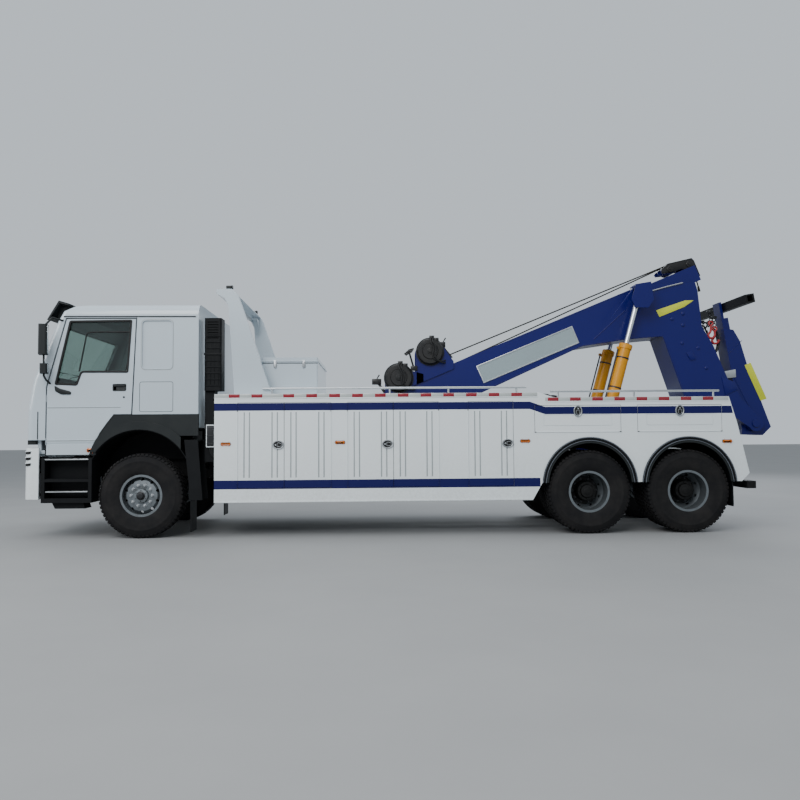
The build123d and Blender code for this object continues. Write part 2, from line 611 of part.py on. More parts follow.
def cab_trim():
    """Dark mouldings on the cab: wheel-arch flares and skirts, corner indicators, grille bars and the sun visor."""
    low, mid, high = arch_line()
    top_x = ARCH_CX
    flare = outline(low, (mid, high), (CAB_BACK_X, SKIRT_Z), (CAB_BACK_X, 1355),
                    (ARCH_CX - math.sqrt(ARCH_R ** 2 - (1355 - ARCH_CZ) ** 2), 1355),
                    ((top_x, ARCH_CZ + ARCH_R),
                     (ARCH_CX + math.sqrt(ARCH_R ** 2 - (1140 - ARCH_CZ) ** 2), 1140)), (4350, 1110))
    flare = side_prism(flare, CAB_HALF_W - CAB_WALL, CAB_HALF_W)
    lip_out = ARCH_R + 110
    past_side = (CAB_HALF_W - 140, CAB_HALF_W + 60)
    lip = disc(ARCH_CX, ARCH_CZ, lip_out, CAB_HALF_W - 1, CAB_HALF_W + 18) - disc(ARCH_CX, ARCH_CZ, ARCH_R, *past_side)
    lip &= block(3230, 4437, *past_side, 1145, 1700)
    lip -= block(2900, 5000, *past_side, SKIRT_Z - 30, 1800)
    flare += lip
    front_cut = outline((4437, 1100), (4600, 1100), (4600, 1700), (4120, 1700), high, (mid, low))
    front_cut = side_prism(front_cut, *past_side)
    flare -= front_cut
    bars = None
    for i in range(5):
        z = 1395 + i * 95
        slat = block(5272, 5296, -780, 780, z, z + 46)
        bars = slat if bars is None else bars + slat
    for y in (-790, 0, 790):
        bars += block(5270, 5290, y - 18, y + 18, 1380, 1836)
    bars -= cab_form(0)
    visor = outline((4935, 2935), (5060, 2930), (4905, 3190), (4770, 3150), (4785, 3128), (4895, 3155), (5020, 2955))
    visor = side_prism(visor, 100 - CAB_HALF_W, CAB_HALF_W - 100)
    for y in (-1000, 0, 1000):
        visor += block(4760, 4960, y - 15, y + 15, 2950, 3140)
    visor -= cab_form(-SEAT_GAP)
    indicator = block(5150, 5262, CAB_HALF_W - 160, CAB_HALF_W - CAB_WALL, 1250, CAB_NOSE_Z)
    keep("cab_trim", flare, flipped(flare), indicator, flipped(indicator), bars, visor)


def cab_interior(floor_top):
    """Two seats, the dash with its steering wheel, and the bunk behind."""
    pieces = []
    for y in (560, -560):
        seat = block(3960, 4420, y - 250, y + 250, floor_top + 180, floor_top + 330)
        seat += block(4020, 4360, y - 190, y + 190, floor_top, floor_top + 181)
        back = outline((3830, floor_top + 250), (3990, floor_top + 250), (3880, floor_top + 1010),
                       (3780, floor_top + 1010))
        seat += side_prism(back, y - 240, y + 240)
        pieces.append(seat)
    pieces.append(block(CAB_BACK_X + CAB_WALL, 3650, CAB_WALL + 45 - CAB_HALF_W, CAB_HALF_W - CAB_WALL - 45,
                        floor_top, floor_top + 320))
    dash = outline((4830, 1380), (4830, 1900), (4930, 2060), (5080, 2080), (5135, 2080), (5150, 1380))
    dash = side_prism(dash, CAB_WALL + 45 - CAB_HALF_W, CAB_HALF_W - CAB_WALL - 45)
    dash += bar((4860, 560, 1850), (4600, 560, 2130), 30)
    ring = Plane(origin=(4610, 560, 2120), z_dir=(-0.68, 0, 0.73)) * Torus(215, 16)
    spokes = Plane(origin=(4610, 560, 2120), z_dir=(-0.68, 0, 0.73)) * Box(60, 430, 14)
    dash += ring
    dash += spokes
    dash += block(4900, 4960, -1100, 1100, FOOTWELL_Z + CAB_WALL, 1381)
    pieces.append(dash)
    keep("cab_interior", pieces)


def side_outline():
    """Side view of one locker body."""
    steps = [(BODY_X0, DECK_Z), (KNEE_X, DECK_Z), (KNEE_X - KNEE_RUN, REAR_DECK_Z), (-4150, REAR_DECK_Z),
             (-4256, 1479), (-4408, 798), (-4345, 736), (-4300, ARCH_BOTTOM_Z)]
    reach = math.sqrt(REAR_ARCH_R ** 2 - (REAR_ARCH_Z - ARCH_BOTTOM_Z) ** 2)
    for x in sorted(REAR_AXLES.values()):
        steps.append((x - reach, ARCH_BOTTOM_Z))
        steps.append(((x, REAR_ARCH_Z + REAR_ARCH_R), (x + reach, ARCH_BOTTOM_Z)))
    steps += [(-1590, ARCH_BOTTOM_Z), (-1457, BODY_Z0)]
    return outline((BODY_X0, BODY_Z0), *steps)


def locker_body():
    """White side bodies with open lockers, joined by the front deck and its bulkhead."""
    side = side_prism(side_outline(), BODY_IN_Y, BODY_Y)
    back = BODY_Y - LEAF_T
    for x1, x0 in LOCKERS:
        side -= block(x0 - LEAF_GAP, x1 + LEAF_GAP, back, BODY_Y + 1, LEAF_Z0 - LEAF_GAP, LEAF_Z1 + LEAF_GAP)
        side -= block(x0 + LOCKER_LIP, x1 - LOCKER_LIP, back - LOCKER_DEPTH, back + 1, LEAF_Z0 + LOCKER_LIP,
                      LEAF_Z1 - LOCKER_LIP)
    for name, x1, x0 in LIDS:
        side -= block(x0 - LEAF_GAP, x1 + LEAF_GAP, back, BODY_Y + 1, LID_Z0 - LEAF_GAP, LID_Z1 + LEAF_GAP)
        side -= block(x0 + LOCKER_LIP, x1 - LOCKER_LIP, back - LID_DEPTH, back + 1, LID_Z0 + LOCKER_LIP,
                      LID_Z1 - LOCKER_LIP)
    body = side + flipped(side)
    body += block(900, BODY_X0, -BODY_IN_Y, BODY_IN_Y, DECK_Z - 35, DECK_Z)
    body += block(BODY_X0 - 30, BODY_X0, -BODY_IN_Y, BODY_IN_Y, RAIL_Z1, DECK_Z - 34)
    body += block(900, 930, -BODY_IN_Y, BODY_IN_Y, 1500, DECK_Z - 34)
    body += block(BODY_X0 - 1, BODY_X0 + 115, 1100, 1215, 1200, 1500)
    keep("locker_body", body)


def locker_leaves():
    """Doors and drop-down lids of the side lockers, pressed with a raised field."""
    back = BODY_Y - LEAF_T + SEAT_GAP
    latch = (136, 106, 14)
    for side, place in (("left", lambda s: s), ("right", flipped)):
        for name, x1, x0 in LEAVES:
            leaf = block(x0, x1, back, BODY_Y, LEAF_Z0, LEAF_Z1)
            for inset in (80, 150):
                leaf -= block(x0 + inset, x0 + inset + 14, BODY_Y - 4, BODY_Y + 1, 790, 1660)
                leaf -= block(x1 - inset - 14, x1 - inset, BODY_Y - 4, BODY_Y + 1, 790, 1660)
            if not name.endswith("b"):
                paddle = SlotOverall(latch[0], latch[1])
                leaf += side_prism(Pos(x0 + 70, 1225) * paddle, BODY_Y - 1, BODY_Y + latch[2])
            hinge_x, inward = (x0 - HINGE_SIDE, 1) if name.endswith("b") else (x1 + HINGE_SIDE, -1)
            leaf += Pos(hinge_x, BODY_Y + HINGE_OUT, (LEAF_Z0 + LEAF_Z1) / 2) * Cylinder(HINGE_R, LEAF_Z1 - LEAF_Z0)
            leaf += block(*sorted((hinge_x, hinge_x + inward * (HINGE_SIDE + 1))), BODY_Y - 3, BODY_Y + HINGE_OUT,
                          LEAF_Z0, LEAF_Z1)
            keep(f"locker_leaf_{name}_{side}", place(leaf))
        for name, x1, x0 in LIDS:
            lid = block(x0, x1, back, BODY_Y, LID_Z0, LID_Z1)
            field = block(x0 + 110, x1 - 120, BODY_Y - 4, BODY_Y + 1, LID_Z0 + 72, 1600)
            field -= block(x0 + 122, x1 - 132, BODY_Y - 6, BODY_Y + 2, LID_Z0 + 84, 1588)
            lid -= field
            paddle = Rot(0, 0, 90) * SlotOverall(latch[0], latch[1])
            lid += side_prism(Pos((x0 + x1) / 2, 1655) * paddle, BODY_Y - 1, BODY_Y + latch[2])
            hinge_z = LID_Z0 - HINGE_SIDE
            lid += bar((x0, BODY_Y + HINGE_OUT, hinge_z), (x1, BODY_Y + HINGE_OUT, hinge_z), HINGE_R)
            lid += block(x0, x1, BODY_Y - 3, BODY_Y + HINGE_OUT, hinge_z, LID_Z0 + 1)
            keep(f"locker_lid_{name}_{side}", place(lid))


def deck_rails():
    """Low tubular rails along both decks."""
    # front x, rear x, tube height, deck height, post places
    runs = [(2170, -1415, 1985, DECK_Z, (2040, 450, -350, -1280)),
            (-1745, -4080, 1925, REAR_DECK_Z, (-1850, -2900, -4000))]
    pieces = []
    for x1, x0, z, deck, posts in runs:
        rail = bar((x0, 1110, z), (x1, 1110, z), 15)
        for x in posts:
            rail += bar((x, 1110, deck + SEAT_GAP), (x, 1110, z), 13)
        pieces.append(rail)
    keep("deck_rails", pieces, [flipped(p) for p in pieces])


def light_tower():
    """Raked legs with a cap beam over the cab's back, and the closed box behind them."""
    leg = outline((2558, DECK_Z + SEAT_GAP), (2640, 3120), (2690, 3225), (2803, 3290), (2803, 3354), (2593, 3354),
                  (2520, 3280), (2470, 3150), (2052, DECK_Z + SEAT_GAP))
    leg = side_prism(leg, TOWER_OUT_Y - TOWER_LEG_T, TOWER_OUT_Y)
    beam = outline((2640, 3235), (2700, 3235), (2803, 3290), (2803, 3354), (2593, 3354), (2540, 3290))
    beam = side_prism(beam, -TOWER_OUT_Y, TOWER_OUT_Y)
    tower = beam + leg + flipped(leg)
    inner = TOWER_OUT_Y - TOWER_LEG_T
    reach = 300
    k = reach * (1 - math.sqrt(0.5))
    for sign in (1, -1):
        gusset = outline((sign * (inner + 5), 3240), (sign * (inner - reach), 3240),
                         ((sign * (inner - k), 3240 - k), (sign * inner, 3240 - reach)), (sign * (inner + 5), 3240 - reach))
        tower += end_prism(gusset, 2560, 2620)
    chest = block(BOX_X0, BOX_X1, -BOX_HALF_W, BOX_HALF_W, DECK_Z + SEAT_GAP, BOX_Z1)
    chest = fillet(chest.edges().filter_by(Axis.Z), 20)
    chest += block(BOX_X0 - 12, BOX_X1 + 12, -BOX_HALF_W - 12, BOX_HALF_W + 12, BOX_Z1 - 60, BOX_Z1 - 45)
    keep("light_tower", tower, chest)


def lamps():
    """Side markers, headlamps, tail lamps and the tower's work lamps."""
    pieces = []
    for x, z in ((2638, 1240), (1120, 1252), (-1364, 1252), (-4109, 1230)):
        pieces.append(block(x - 67, x + 67, BODY_Y + SEAT_GAP, BODY_Y + 20, z - 22, z + 22))
    pieces.append(block(BUMPER_X - 119, BUMPER_X - 4, 720 + SEAT_GAP, 1110 - SEAT_GAP, 860 + SEAT_GAP, 1090 - SEAT_GAP))
    pieces.append(block(-4522, -4500 - SEAT_GAP, 800, 1180, 600, 680))
    pieces.append(block(2600, 2680, 985, 1085, 3354 + SEAT_GAP, 3410))
    keep("lamps", pieces, [flipped(p) for p in pieces])


def air_intake():
    """Tall intake stack behind the cab with its duct down to the frame."""
    stack = block(2720, 2950, 900, 1150, 1960, 2945)
    stack = fillet(stack.edges().filter_by(Axis.Z), 30)
    for i in range(7):
        stack -= block(2760, 2910, 1135, 1160, 2660 + i * 36, 2680 + i * 36)
    stack += block(2820, 2950, 905, 1100, 1000 + SEAT_GAP, 1970)
    keep("air_intake", stack)


def boom_base():
    """Pivot stand for the boom's foot and the brackets under the lift cylinders."""
    px, pz = PIVOT
    plate = outline((px + 420, RAIL_Z1 + 25), (px + 420, RAIL_Z1 + 160), (px + 130, pz + 40),
                    ((px, pz + 150), (px - 130, pz + 40)), (px - 380, RAIL_Z1 + 160), (px - 380, RAIL_Z1 + 25))
    stand = side_prism(plate, BOOM_HALF_W + 12, BOOM_HALF_W + 62)
    stand += block(px - 420, px + 460, BOOM_HALF_W + 12, RAIL_OUT, RAIL_Z1, RAIL_Z1 + 26)
    pin = disc(px, pz, PIN_R, -BOOM_HALF_W - 75, BOOM_HALF_W + 75)
    base = stand + flipped(stand) + pin
    fx, fz = CYL_FOOT
    foot = block(fx - 140, fx + 140, RAIL_IN, 500, RAIL_Z1, RAIL_Z1 + 15)
    cheek = outline((fx - 120, RAIL_Z1 + 14), (fx - 60, fz + 50), (fx + 60, fz + 50), (fx + 120, RAIL_Z1 + 14))
    for y in (CYL_Y - 68, CYL_Y + 52):
        foot += side_prism(cheek, y, y + 16)
    foot += disc(fx, fz, 30, CYL_Y - 60, CYL_Y + 60)
    keep("boom_base", base, foot, flipped(foot))


def boom_outer():
    """Box boom with its knee and tail column, winch cheeks, cylinder brackets and fold-pin ears."""
    px, pz = PIVOT
    form = outline((px + 175, pz - 60), ((px + 150, pz + 120), (px + 30, pz + 330)), (-3400, top_line_z(-3400)),
                   (-3490, 3570), (-4150, 3600), (-4184, 3477), (-4236, 2933), (-4400, 2650), (-4790, 1700),
                   (-4700, 1640), (-4020, 1650), (-3640, 2790), (-3081, 2740), (-2425, 2645), (330, 1393),
                   (px + 100, pz - 230))
    boom = side_prism(form, -BOOM_HALF_W, BOOM_HALF_W)
    slot = outline(below_top(-900, INNER_TOP - INNER_GAP), below_top(-4400, INNER_TOP - INNER_GAP),
                   below_top(-4400, INNER_TOP + INNER_DEPTH + INNER_GAP), below_top(-900, INNER_TOP + INNER_DEPTH + INNER_GAP))
    boom -= side_prism(slot, -INNER_HALF_W - INNER_GAP, INNER_HALF_W + INNER_GAP)
    mouth = outline((-3470, 3500), (-3470, 3700), (-4300, 3700), (-4300, 3575), (-3700, 3575))
    boom -= side_prism(mouth, -INNER_HALF_W - 20, INNER_HALF_W + 20)
    boom -= disc(px, pz, PIN_R + 1, -400, 400)
    nest = arm_outline((-260, -200), (1700, -200), (1700, 400), (-260, 400))
    boom -= side_prism(nest, -ARM_HALF_W - 12, ARM_HALF_W + 12)
    ear = outline((-4600, 1645), (-4700, 2100), (-4800, 1850), (FOLD_PIN[0] - 95, FOLD_PIN[1] + 60),
                  ((FOLD_PIN[0] - 60, FOLD_PIN[1] - 100), (FOLD_PIN[0] + 90, FOLD_PIN[1] - 60)))
    ear = side_prism(ear, ARM_HALF_W + 12, BOOM_HALF_W) - side_prism(form, 0, BOOM_HALF_W + 1)
    ear -= disc(*FOLD_PIN, FOLD_PIN_R + SEAT_GAP, 0, 400)
    fold_pin = disc(*FOLD_PIN, FOLD_PIN_R, -BOOM_HALF_W - 18, BOOM_HALF_W + 18)
    for x, z, r in WINCHES.values():
        boom -= disc(x, z, DRUM_FLANGE * r + 6, -BOOM_HALF_W + 20, BOOM_HALF_W - 20)
        boom -= disc(x, z, DRUM_SHAFT_R + SHAFT_GAP, -BOOM_HALF_W - 30, BOOM_HALF_W + 30)
    bracket = outline((-3100, 3300), (-3165, 3525), (-3390, 3562), (-3430, 3300), (-3350, 3180), (-3150, 3180))
    caps = outline((-3165, 3505), (-3165, 3525), (-3390, 3562), (-3390, 3542))
    strut = outline((-3120, 3440), (-3165, 3525), (-2805, 3050), (-2790, 3010))
    for sign in (1, -1):
        for plate in (bracket, strut):
            boom += side_prism(plate, *sorted((sign * BRACKET_Y, sign * (BRACKET_Y + 16))))
        boom += side_prism(caps, *sorted((sign * (BOOM_HALF_W - 1), sign * (BRACKET_Y + 16))))
    keep("boom_outer", boom, ear, flipped(ear), fold_pin)


def inner_boom():
    """Telescopic inner box with the rope sheaves in a head at its end."""
    end_x = -4170
    box_face = outline(below_top(-1000, INNER_TOP), below_top(end_x, INNER_TOP),
                       below_top(end_x, INNER_TOP + INNER_DEPTH), below_top(-1000, INNER_TOP + INNER_DEPTH))
    inner = side_prism(box_face, -INNER_HALF_W, INNER_HALF_W)
    over = INNER_GAP - 2 * SEAT_GAP
    pad = outline(below_top(-1000, INNER_TOP - over), below_top(-1150, INNER_TOP - over),
                  below_top(-1150, INNER_TOP + INNER_DEPTH + over), below_top(-1000, INNER_TOP + INNER_DEPTH + over))
    inner += side_prism(pad, -INNER_HALF_W - over, INNER_HALF_W + over)
    head = outline((-3700, 3760), (-3680, 3800), (-3790, 3905), (-4163, 4000), (-4200, 3960), (-4290, 3730),
                   (-4240, 3700), (-4150, 3790), (-4000, 3830), (-3900, 3790), (-3850, 3780))
    plate_y = 2 * SHEAVE_BAY_Y
    for y in (-plate_y, 0, plate_y):
        inner += side_prism(head, y - HEAD_PLATE_T / 2, y + HEAD_PLATE_T / 2)
    rim = SHEAVE_BAY_Y - HEAD_PLATE_T / 2 - 3
    sheave = [(-rim, 0), (-rim, SHEAVE_R), (-18, SHEAVE_R), (-8, SHEAVE_R - 16), (8, SHEAVE_R - 16), (18, SHEAVE_R),
              (rim, SHEAVE_R), (rim, 0)]
    for x, z in ((-3830, 3830), (-4120, 3905)):
        inner += disc(x, z, 32, -plate_y - 14, plate_y + 14)
        for y in (-SHEAVE_BAY_Y, SHEAVE_BAY_Y):
            inner += turned(sheave, x, y, z)
    keep("inner_boom", inner)


def winch_frames():
    """Round-topped cheeks lapped on the boom's sides, tied across, with the gear case and the motor outside."""
    frames = []
    for x, z, r in WINCHES.values():
        front_x = min(x + 0.98 * r, 505)
        rear_x = x - 1.7 * r
        cheek = outline((front_x, top_line_z(front_x) - CHEEK_LAP), (front_x, z), ((x, z + r), (x - 0.87 * r, z + 0.5 * r)),
                        (rear_x, top_line_z(rear_x) + 30), (rear_x, top_line_z(rear_x) - CHEEK_LAP))
        inner = BOOM_HALF_W + SEAT_GAP
        outer = inner + CHEEK_T
        frame = side_prism(cheek, inner, outer) + side_prism(cheek, -outer, -inner)
        reach = DRUM_FLANGE * r + 5 + TIE_R
        for angle in (70, 125):
            a = math.radians(angle)
            frame += disc(x + reach * math.cos(a), z + reach * math.sin(a), TIE_R, -inner - 1, inner + 1)
        case = [(0, 0), (0, 0.94 * r), (GEARCASE_T - 22, 0.94 * r), (GEARCASE_T, 0.84 * r), (GEARCASE_T, 0.56 * r),
                (GEARCASE_T + 18, 0.52 * r), (GEARCASE_T + 18, 0)]
        frame += turned([(y - 1, radius) for y, radius in case], x, outer, z)
        motor = [(1, 0), (1, 0.62 * r), (-24, 0.62 * r), (-30, 0.42 * r), (-MOTOR_LEN, 0.42 * r), (-MOTOR_LEN, 0)]
        frame += turned(motor, x, -outer, z)
        frame -= disc(x, z, DRUM_SHAFT_R + SHAFT_GAP, -BOOM_HALF_W - 30, BOOM_HALF_W + 30)
        frames.append(frame)
    keep("winch_frames", frames)


def winch_drums():
    """Two rope drums between the winch cheeks."""
    for name, (x, z, r) in WINCHES.items():
        flange = DRUM_FLANGE * r
        y = BOOM_HALF_W - 26
        drum = turned([(-y, 0), (-y, flange), (-y + 16, flange), (-y + 16, 0.62 * r), (y - 16, 0.62 * r),
                       (y - 16, flange), (y, flange), (y, 0)], x, 0, z)
        drum += disc(x, z, DRUM_SHAFT_R, -BOOM_HALF_W - 25, BOOM_HALF_W + 25)
        keep(f"winch_drum_{name}", drum)


def lift_cylinders():
    """Barrels on their foot pins and rods that run in them."""
    fx, fz = CYL_FOOT
    ex, ez = CYL_EYE
    run = math.hypot(ex - fx, ez - fz)
    ux, uz = (ex - fx) / run, (ez - fz) / run
    gland = 45

    def at(s, y=CYL_Y):
        return (fx + ux * s, y, fz + uz * s)

    barrel = disc(fx, fz, 62, CYL_Y - 48, CYL_Y + 48) + bar(at(30), at(100), 46) + bar(at(95), at(BARREL_LEN), BARREL_R)
    barrel -= bar(at(155), at(BARREL_LEN - gland), ROD_R + 14)
    barrel -= bar(at(BARREL_LEN - gland - 1), at(BARREL_LEN + 1), ROD_R + SEAT_GAP)
    barrel -= disc(fx, fz, 31, CYL_Y - 60, CYL_Y + 60)
    rod = bar(at(ROD_START), at(run - 30), ROD_R) + bar(at(ROD_START), at(ROD_START + 40), ROD_R + 13.5)
    rod += disc(ex, ez, EYE_R, CYL_Y - 45, CYL_Y + 45)
    rod += disc(ex, ez, 30, BOOM_HALF_W + 5, BRACKET_Y - 4)
    keep("lift_barrels", both(barrel))
    keep("lift_rods", both(rod))


def underlift():
    """Stowed underlift: hinged arm, telescopic stinger and swivelling crossbar."""
    arm = side_prism(arm_outline((-198, 130), (-96, 278), (902, 96), (1258, 57), (1440, -10), (1490, -158),
                                 (-60, -165), (-132, -184)), -ARM_HALF_W, ARM_HALF_W)
    tunnel = arm_outline((150, STINGER_T0 - STINGER_GAP), (1600, STINGER_T0 - STINGER_GAP),
                         (1600, STINGER_T1 + STINGER_GAP), (150, STINGER_T1 + STINGER_GAP))
    arm -= side_prism(tunnel, -STINGER_HALF_W - STINGER_GAP, STINGER_HALF_W + STINGER_GAP)
    arm -= disc(*FOLD_PIN, FOLD_PIN_R + SHAFT_GAP, -300, 300)
    keep("underlift_arm", arm)
    tube = arm_outline((200, STINGER_T0), (1640, STINGER_T0), (1640, STINGER_T1), (200, STINGER_T1))
    stinger = side_prism(tube, -STINGER_HALF_W, STINGER_HALF_W)
    over = STINGER_GAP - 2 * SEAT_GAP
    pad = arm_outline((200, STINGER_T0 - over), (260, STINGER_T0 - over), (260, STINGER_T1 + over),
                      (200, STINGER_T1 + over))
    stinger += side_prism(pad, -STINGER_HALF_W - over, STINGER_HALF_W + over)
    tongue = arm_outline((1630, STINGER_T0), (1890, STINGER_T0), (1890, -96), (1630, -96))
    stinger += side_prism(tongue, -STINGER_HALF_W, STINGER_HALF_W)

    def across(t0, t1, r):
        x0, z0 = arm_point(CROSS_S, t0)
        x1, z1 = arm_point(CROSS_S, t1)
        return bar((x0, 0, z0), (x1, 0, z1), r)

    stinger += across(-97, 62, 40)
    stinger += across(46, 62, 62)
    keep("underlift_stinger", stinger)
    beam = arm_outline((CROSS_S - 63, -90), (CROSS_S + 63, -90), (CROSS_S + 63, 40), (CROSS_S - 63, 40))
    cross = side_prism(beam, -CROSS_HALF, CROSS_HALF)
    cross -= across(-120, 60, 41)
    socket = arm_outline((CROSS_S - 40, -62), (CROSS_S + 40, -62), (CROSS_S + 40, 12), (CROSS_S - 40, 12))
    for sign in (1, -1):
        cross -= side_prism(socket, *sorted((sign * (CROSS_HALF - 260), sign * (CROSS_HALF + 1))))
    keep("underlift_crossbar", cross)


def main():
    wheels()
    knuckles()
    axles()
    frame_rails()
    engine()
    front_bumper()
    guards_and_steps()
    arch_liners()
    cab()
    locker_body()
    locker_leaves()
    deck_rails()
    light_tower()
    lamps()
    air_intake()
    boom_base()
    boom_outer()
    inner_boom()
    winch_frames()
    winch_drums()
    lift_cylinders()
    underlift()
    os.makedirs("parts", exist_ok=True)
    for name, solids in nodes.items():
        export_step(Compound(solids), f"parts/{name}.step")
        print(name, len(solids))
    print(len(nodes), "nodes")


main()
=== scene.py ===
# %% [markdown]
# # A heavy tow truck, dressed around its CAD frame
#
# The solids of this truck come from a CAD part and are already in their right places.
# This notebook loads them, sets up the camera and a plain studio, mixes one finish for
# each real surface, and then adds the pieces that are too fine for the CAD: treads,
# wheel nuts, seals, latches, tape, ropes, hoses and so on.
# Blender counts in metres and the drawings are in millimetres, so MM turns one into the other.

# %% Load the frame
import json
import math
import random

import bpy
from mathutils import Matrix, Vector


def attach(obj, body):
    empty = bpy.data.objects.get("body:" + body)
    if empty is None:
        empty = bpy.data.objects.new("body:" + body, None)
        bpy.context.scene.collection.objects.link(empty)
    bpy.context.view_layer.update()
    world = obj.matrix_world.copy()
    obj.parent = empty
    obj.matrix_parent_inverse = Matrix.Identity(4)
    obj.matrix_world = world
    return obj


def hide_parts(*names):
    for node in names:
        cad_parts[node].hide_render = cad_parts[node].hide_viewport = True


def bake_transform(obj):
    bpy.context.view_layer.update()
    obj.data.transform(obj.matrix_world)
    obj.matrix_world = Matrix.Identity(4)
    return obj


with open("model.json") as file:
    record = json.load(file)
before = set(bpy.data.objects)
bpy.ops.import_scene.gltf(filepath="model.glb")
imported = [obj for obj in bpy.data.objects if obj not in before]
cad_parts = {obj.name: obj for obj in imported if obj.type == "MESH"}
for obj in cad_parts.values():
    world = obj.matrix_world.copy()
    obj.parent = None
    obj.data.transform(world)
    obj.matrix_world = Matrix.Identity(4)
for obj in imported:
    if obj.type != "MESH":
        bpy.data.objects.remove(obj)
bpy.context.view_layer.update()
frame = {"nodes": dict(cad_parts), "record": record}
nodes = frame["nodes"]
MM = 0.001

# %% [markdown]
# ## The camera
# The photograph was taken from the truck's left, about ten metres off and at chest height.
# The numbers below were fitted to points that are easy to find both in the picture and on
# the truck: wheel centres, corners of the lockers, the tower and the boom's sign plate.

# %% Camera
CAMERA_AT = Vector((0.5866, 11.2924, 1.3290))
YAW, PITCH, ROLL = -0.02703, 0.04816, -0.00726
FOCAL_PX, IMAGE_PX, SENSOR = 749.77, 800.0, 36.0


def camera_axes(yaw, pitch, roll):
    """The camera's right, up and backward directions, as columns of a rotation."""
    forward = Vector((math.sin(yaw) * math.cos(pitch), -math.cos(yaw) * math.cos(pitch), math.sin(pitch)))
    right = Vector((-math.cos(yaw), -math.sin(yaw), 0.0))
    up = right.cross(forward)
    across = math.cos(roll) * right + math.sin(roll) * up
    upward = math.cos(roll) * up - math.sin(roll) * right
    return Matrix((across, upward, -forward)).transposed()


bpy.ops.object.select_all(action="DESELECT")
bpy.ops.object.camera_add()
camera = bpy.context.object
camera.name = "camera"
camera.data.sensor_width = SENSOR
camera.data.lens = FOCAL_PX / IMAGE_PX * SENSOR
camera.data.clip_end = 200
camera.matrix_world = Matrix.Translation(CAMERA_AT) @ camera_axes(YAW, PITCH, ROLL).to_4x4()
bpy.context.scene.camera = camera
print("lens", round(camera.data.lens, 2), "mm")

# %% [markdown]
# ## Finishes
# Every colour is written as the hex value that a colour picker shows and is turned to
# linear light by one function. One more function adds a shader node with its settings
# and links, so that each recipe below reads as a list.


# %% Helpers for finishes
def linear(code, alpha=1.0):
    """A hex colour such as "#c0ffee" as linear RGBA."""
    parts = [int(code[i:i + 2], 16) / 255 for i in (1, 3, 5)]
    return tuple(c / 12.92 if c <= 0.04045 else ((c + 0.055) / 1.055) ** 2.4 for c in parts) + (alpha,)


def node(tree, kind, inputs=(), **settings):
    """Add a shader node: settings go on the node, inputs are values or other nodes' sockets."""
    made = tree.nodes.new("ShaderNode" + kind)
    for name, value in settings.items():
        setattr(made, name, value)
    for name, value in dict(inputs).items():
        if isinstance(value, bpy.types.NodeSocket):
            tree.links.new(value, made.inputs[name])
        else:
            made.inputs[name].default_value = value
    return made


def start_finish(name, **shader):
    """A new material with its tree, its Principled shader and its Object coordinates."""
    material = bpy.data.materials.new(name)
    material.use_nodes = True
    tree = material.node_tree
    principled = tree.nodes["Principled BSDF"]
    for key, value in shader.items():
        principled.inputs[key.replace("_", " ")].default_value = value
    where = tree.nodes.new("ShaderNodeTexCoord").outputs["Object"]
    return material, tree, principled, where


def per_mm(size):
    """Texture scale at which one feature of a pattern is size millimetres across."""
    return 1.0 / (size * MM)


# %% [markdown]
# ### Coach paint
# Two-pack coach paint is a coloured coat under a clear one. The eye sees a soft, slightly
# wavy gloss ("orange peel", grains about 4 mm wide here so that they show), a little
# clouding of the colour over half a metre, and road dust that gets thicker towards the sills.


# %% Coach paint
def coach_paint(name, code, dust_code, dust=0.35, roughness=0.32, coat=0.6, specular=0.5):
    """Painted sheet with orange peel, and dust that thickens towards the ground."""
    material, tree, principled, where = start_finish(name, Coat_Weight=coat, Coat_Roughness=0.12,
                                                     Specular_IOR_Level=specular)
    cloud = node(tree, "TexNoise", {"Vector": where, "Scale": per_mm(650), "Detail": 4.0, "Roughness": 0.6})
    speck = node(tree, "TexNoise", {"Vector": where, "Scale": per_mm(28), "Detail": 6.0, "Roughness": 0.7})
    height = node(tree, "SeparateXYZ", {"Vector": where})
    low = node(tree, "MapRange", {"Value": height.outputs["Z"], "From Min": 1.25, "From Max": 0.35,
                                  "To Min": 0.08, "To Max": 1.0})
    patchy = node(tree, "MapRange", {"Value": speck.outputs["Fac"], "From Min": 0.35, "From Max": 0.75})
    dirt = node(tree, "Math", {0: low.outputs["Result"], 1: patchy.outputs["Result"]}, operation="MULTIPLY")
    dirt = node(tree, "Math", {0: dirt.outputs[0], 1: dust}, operation="MULTIPLY", use_clamp=True)
    base = linear(code)
    shade = tuple(c * 0.90 for c in base[:3]) + (1.0,)
    tint = node(tree, "MixRGB", {"Fac": cloud.outputs["Fac"], "Color1": base, "Color2": shade})
    dusty = node(tree, "MixRGB", {"Fac": dirt.outputs[0], "Color1": tint.outputs["Color"], "Color2": linear(dust_code)})
    tree.links.new(dusty.outputs["Color"], principled.inputs["Base Color"])
    dull = node(tree, "MapRange", {"Value": dirt.outputs[0], "To Min": roughness, "To Max": 0.75})
    tree.links.new(dull.outputs["Result"], principled.inputs["Roughness"])
    peel = node(tree, "TexNoise", {"Vector": where, "Scale": per_mm(9), "Detail": 1.0})
    edge = node(tree, "Bevel", {"Radius": 4 * MM}, samples=4)
    bump = node(tree, "Bump", {"Strength": 0.05, "Distance": 1 * MM, "Height": peel.outputs["Fac"],
                               "Normal": edge.outputs["Normal"]})
    tree.links.new(bump.outputs["Normal"], principled.inputs["Normal"])
    return material


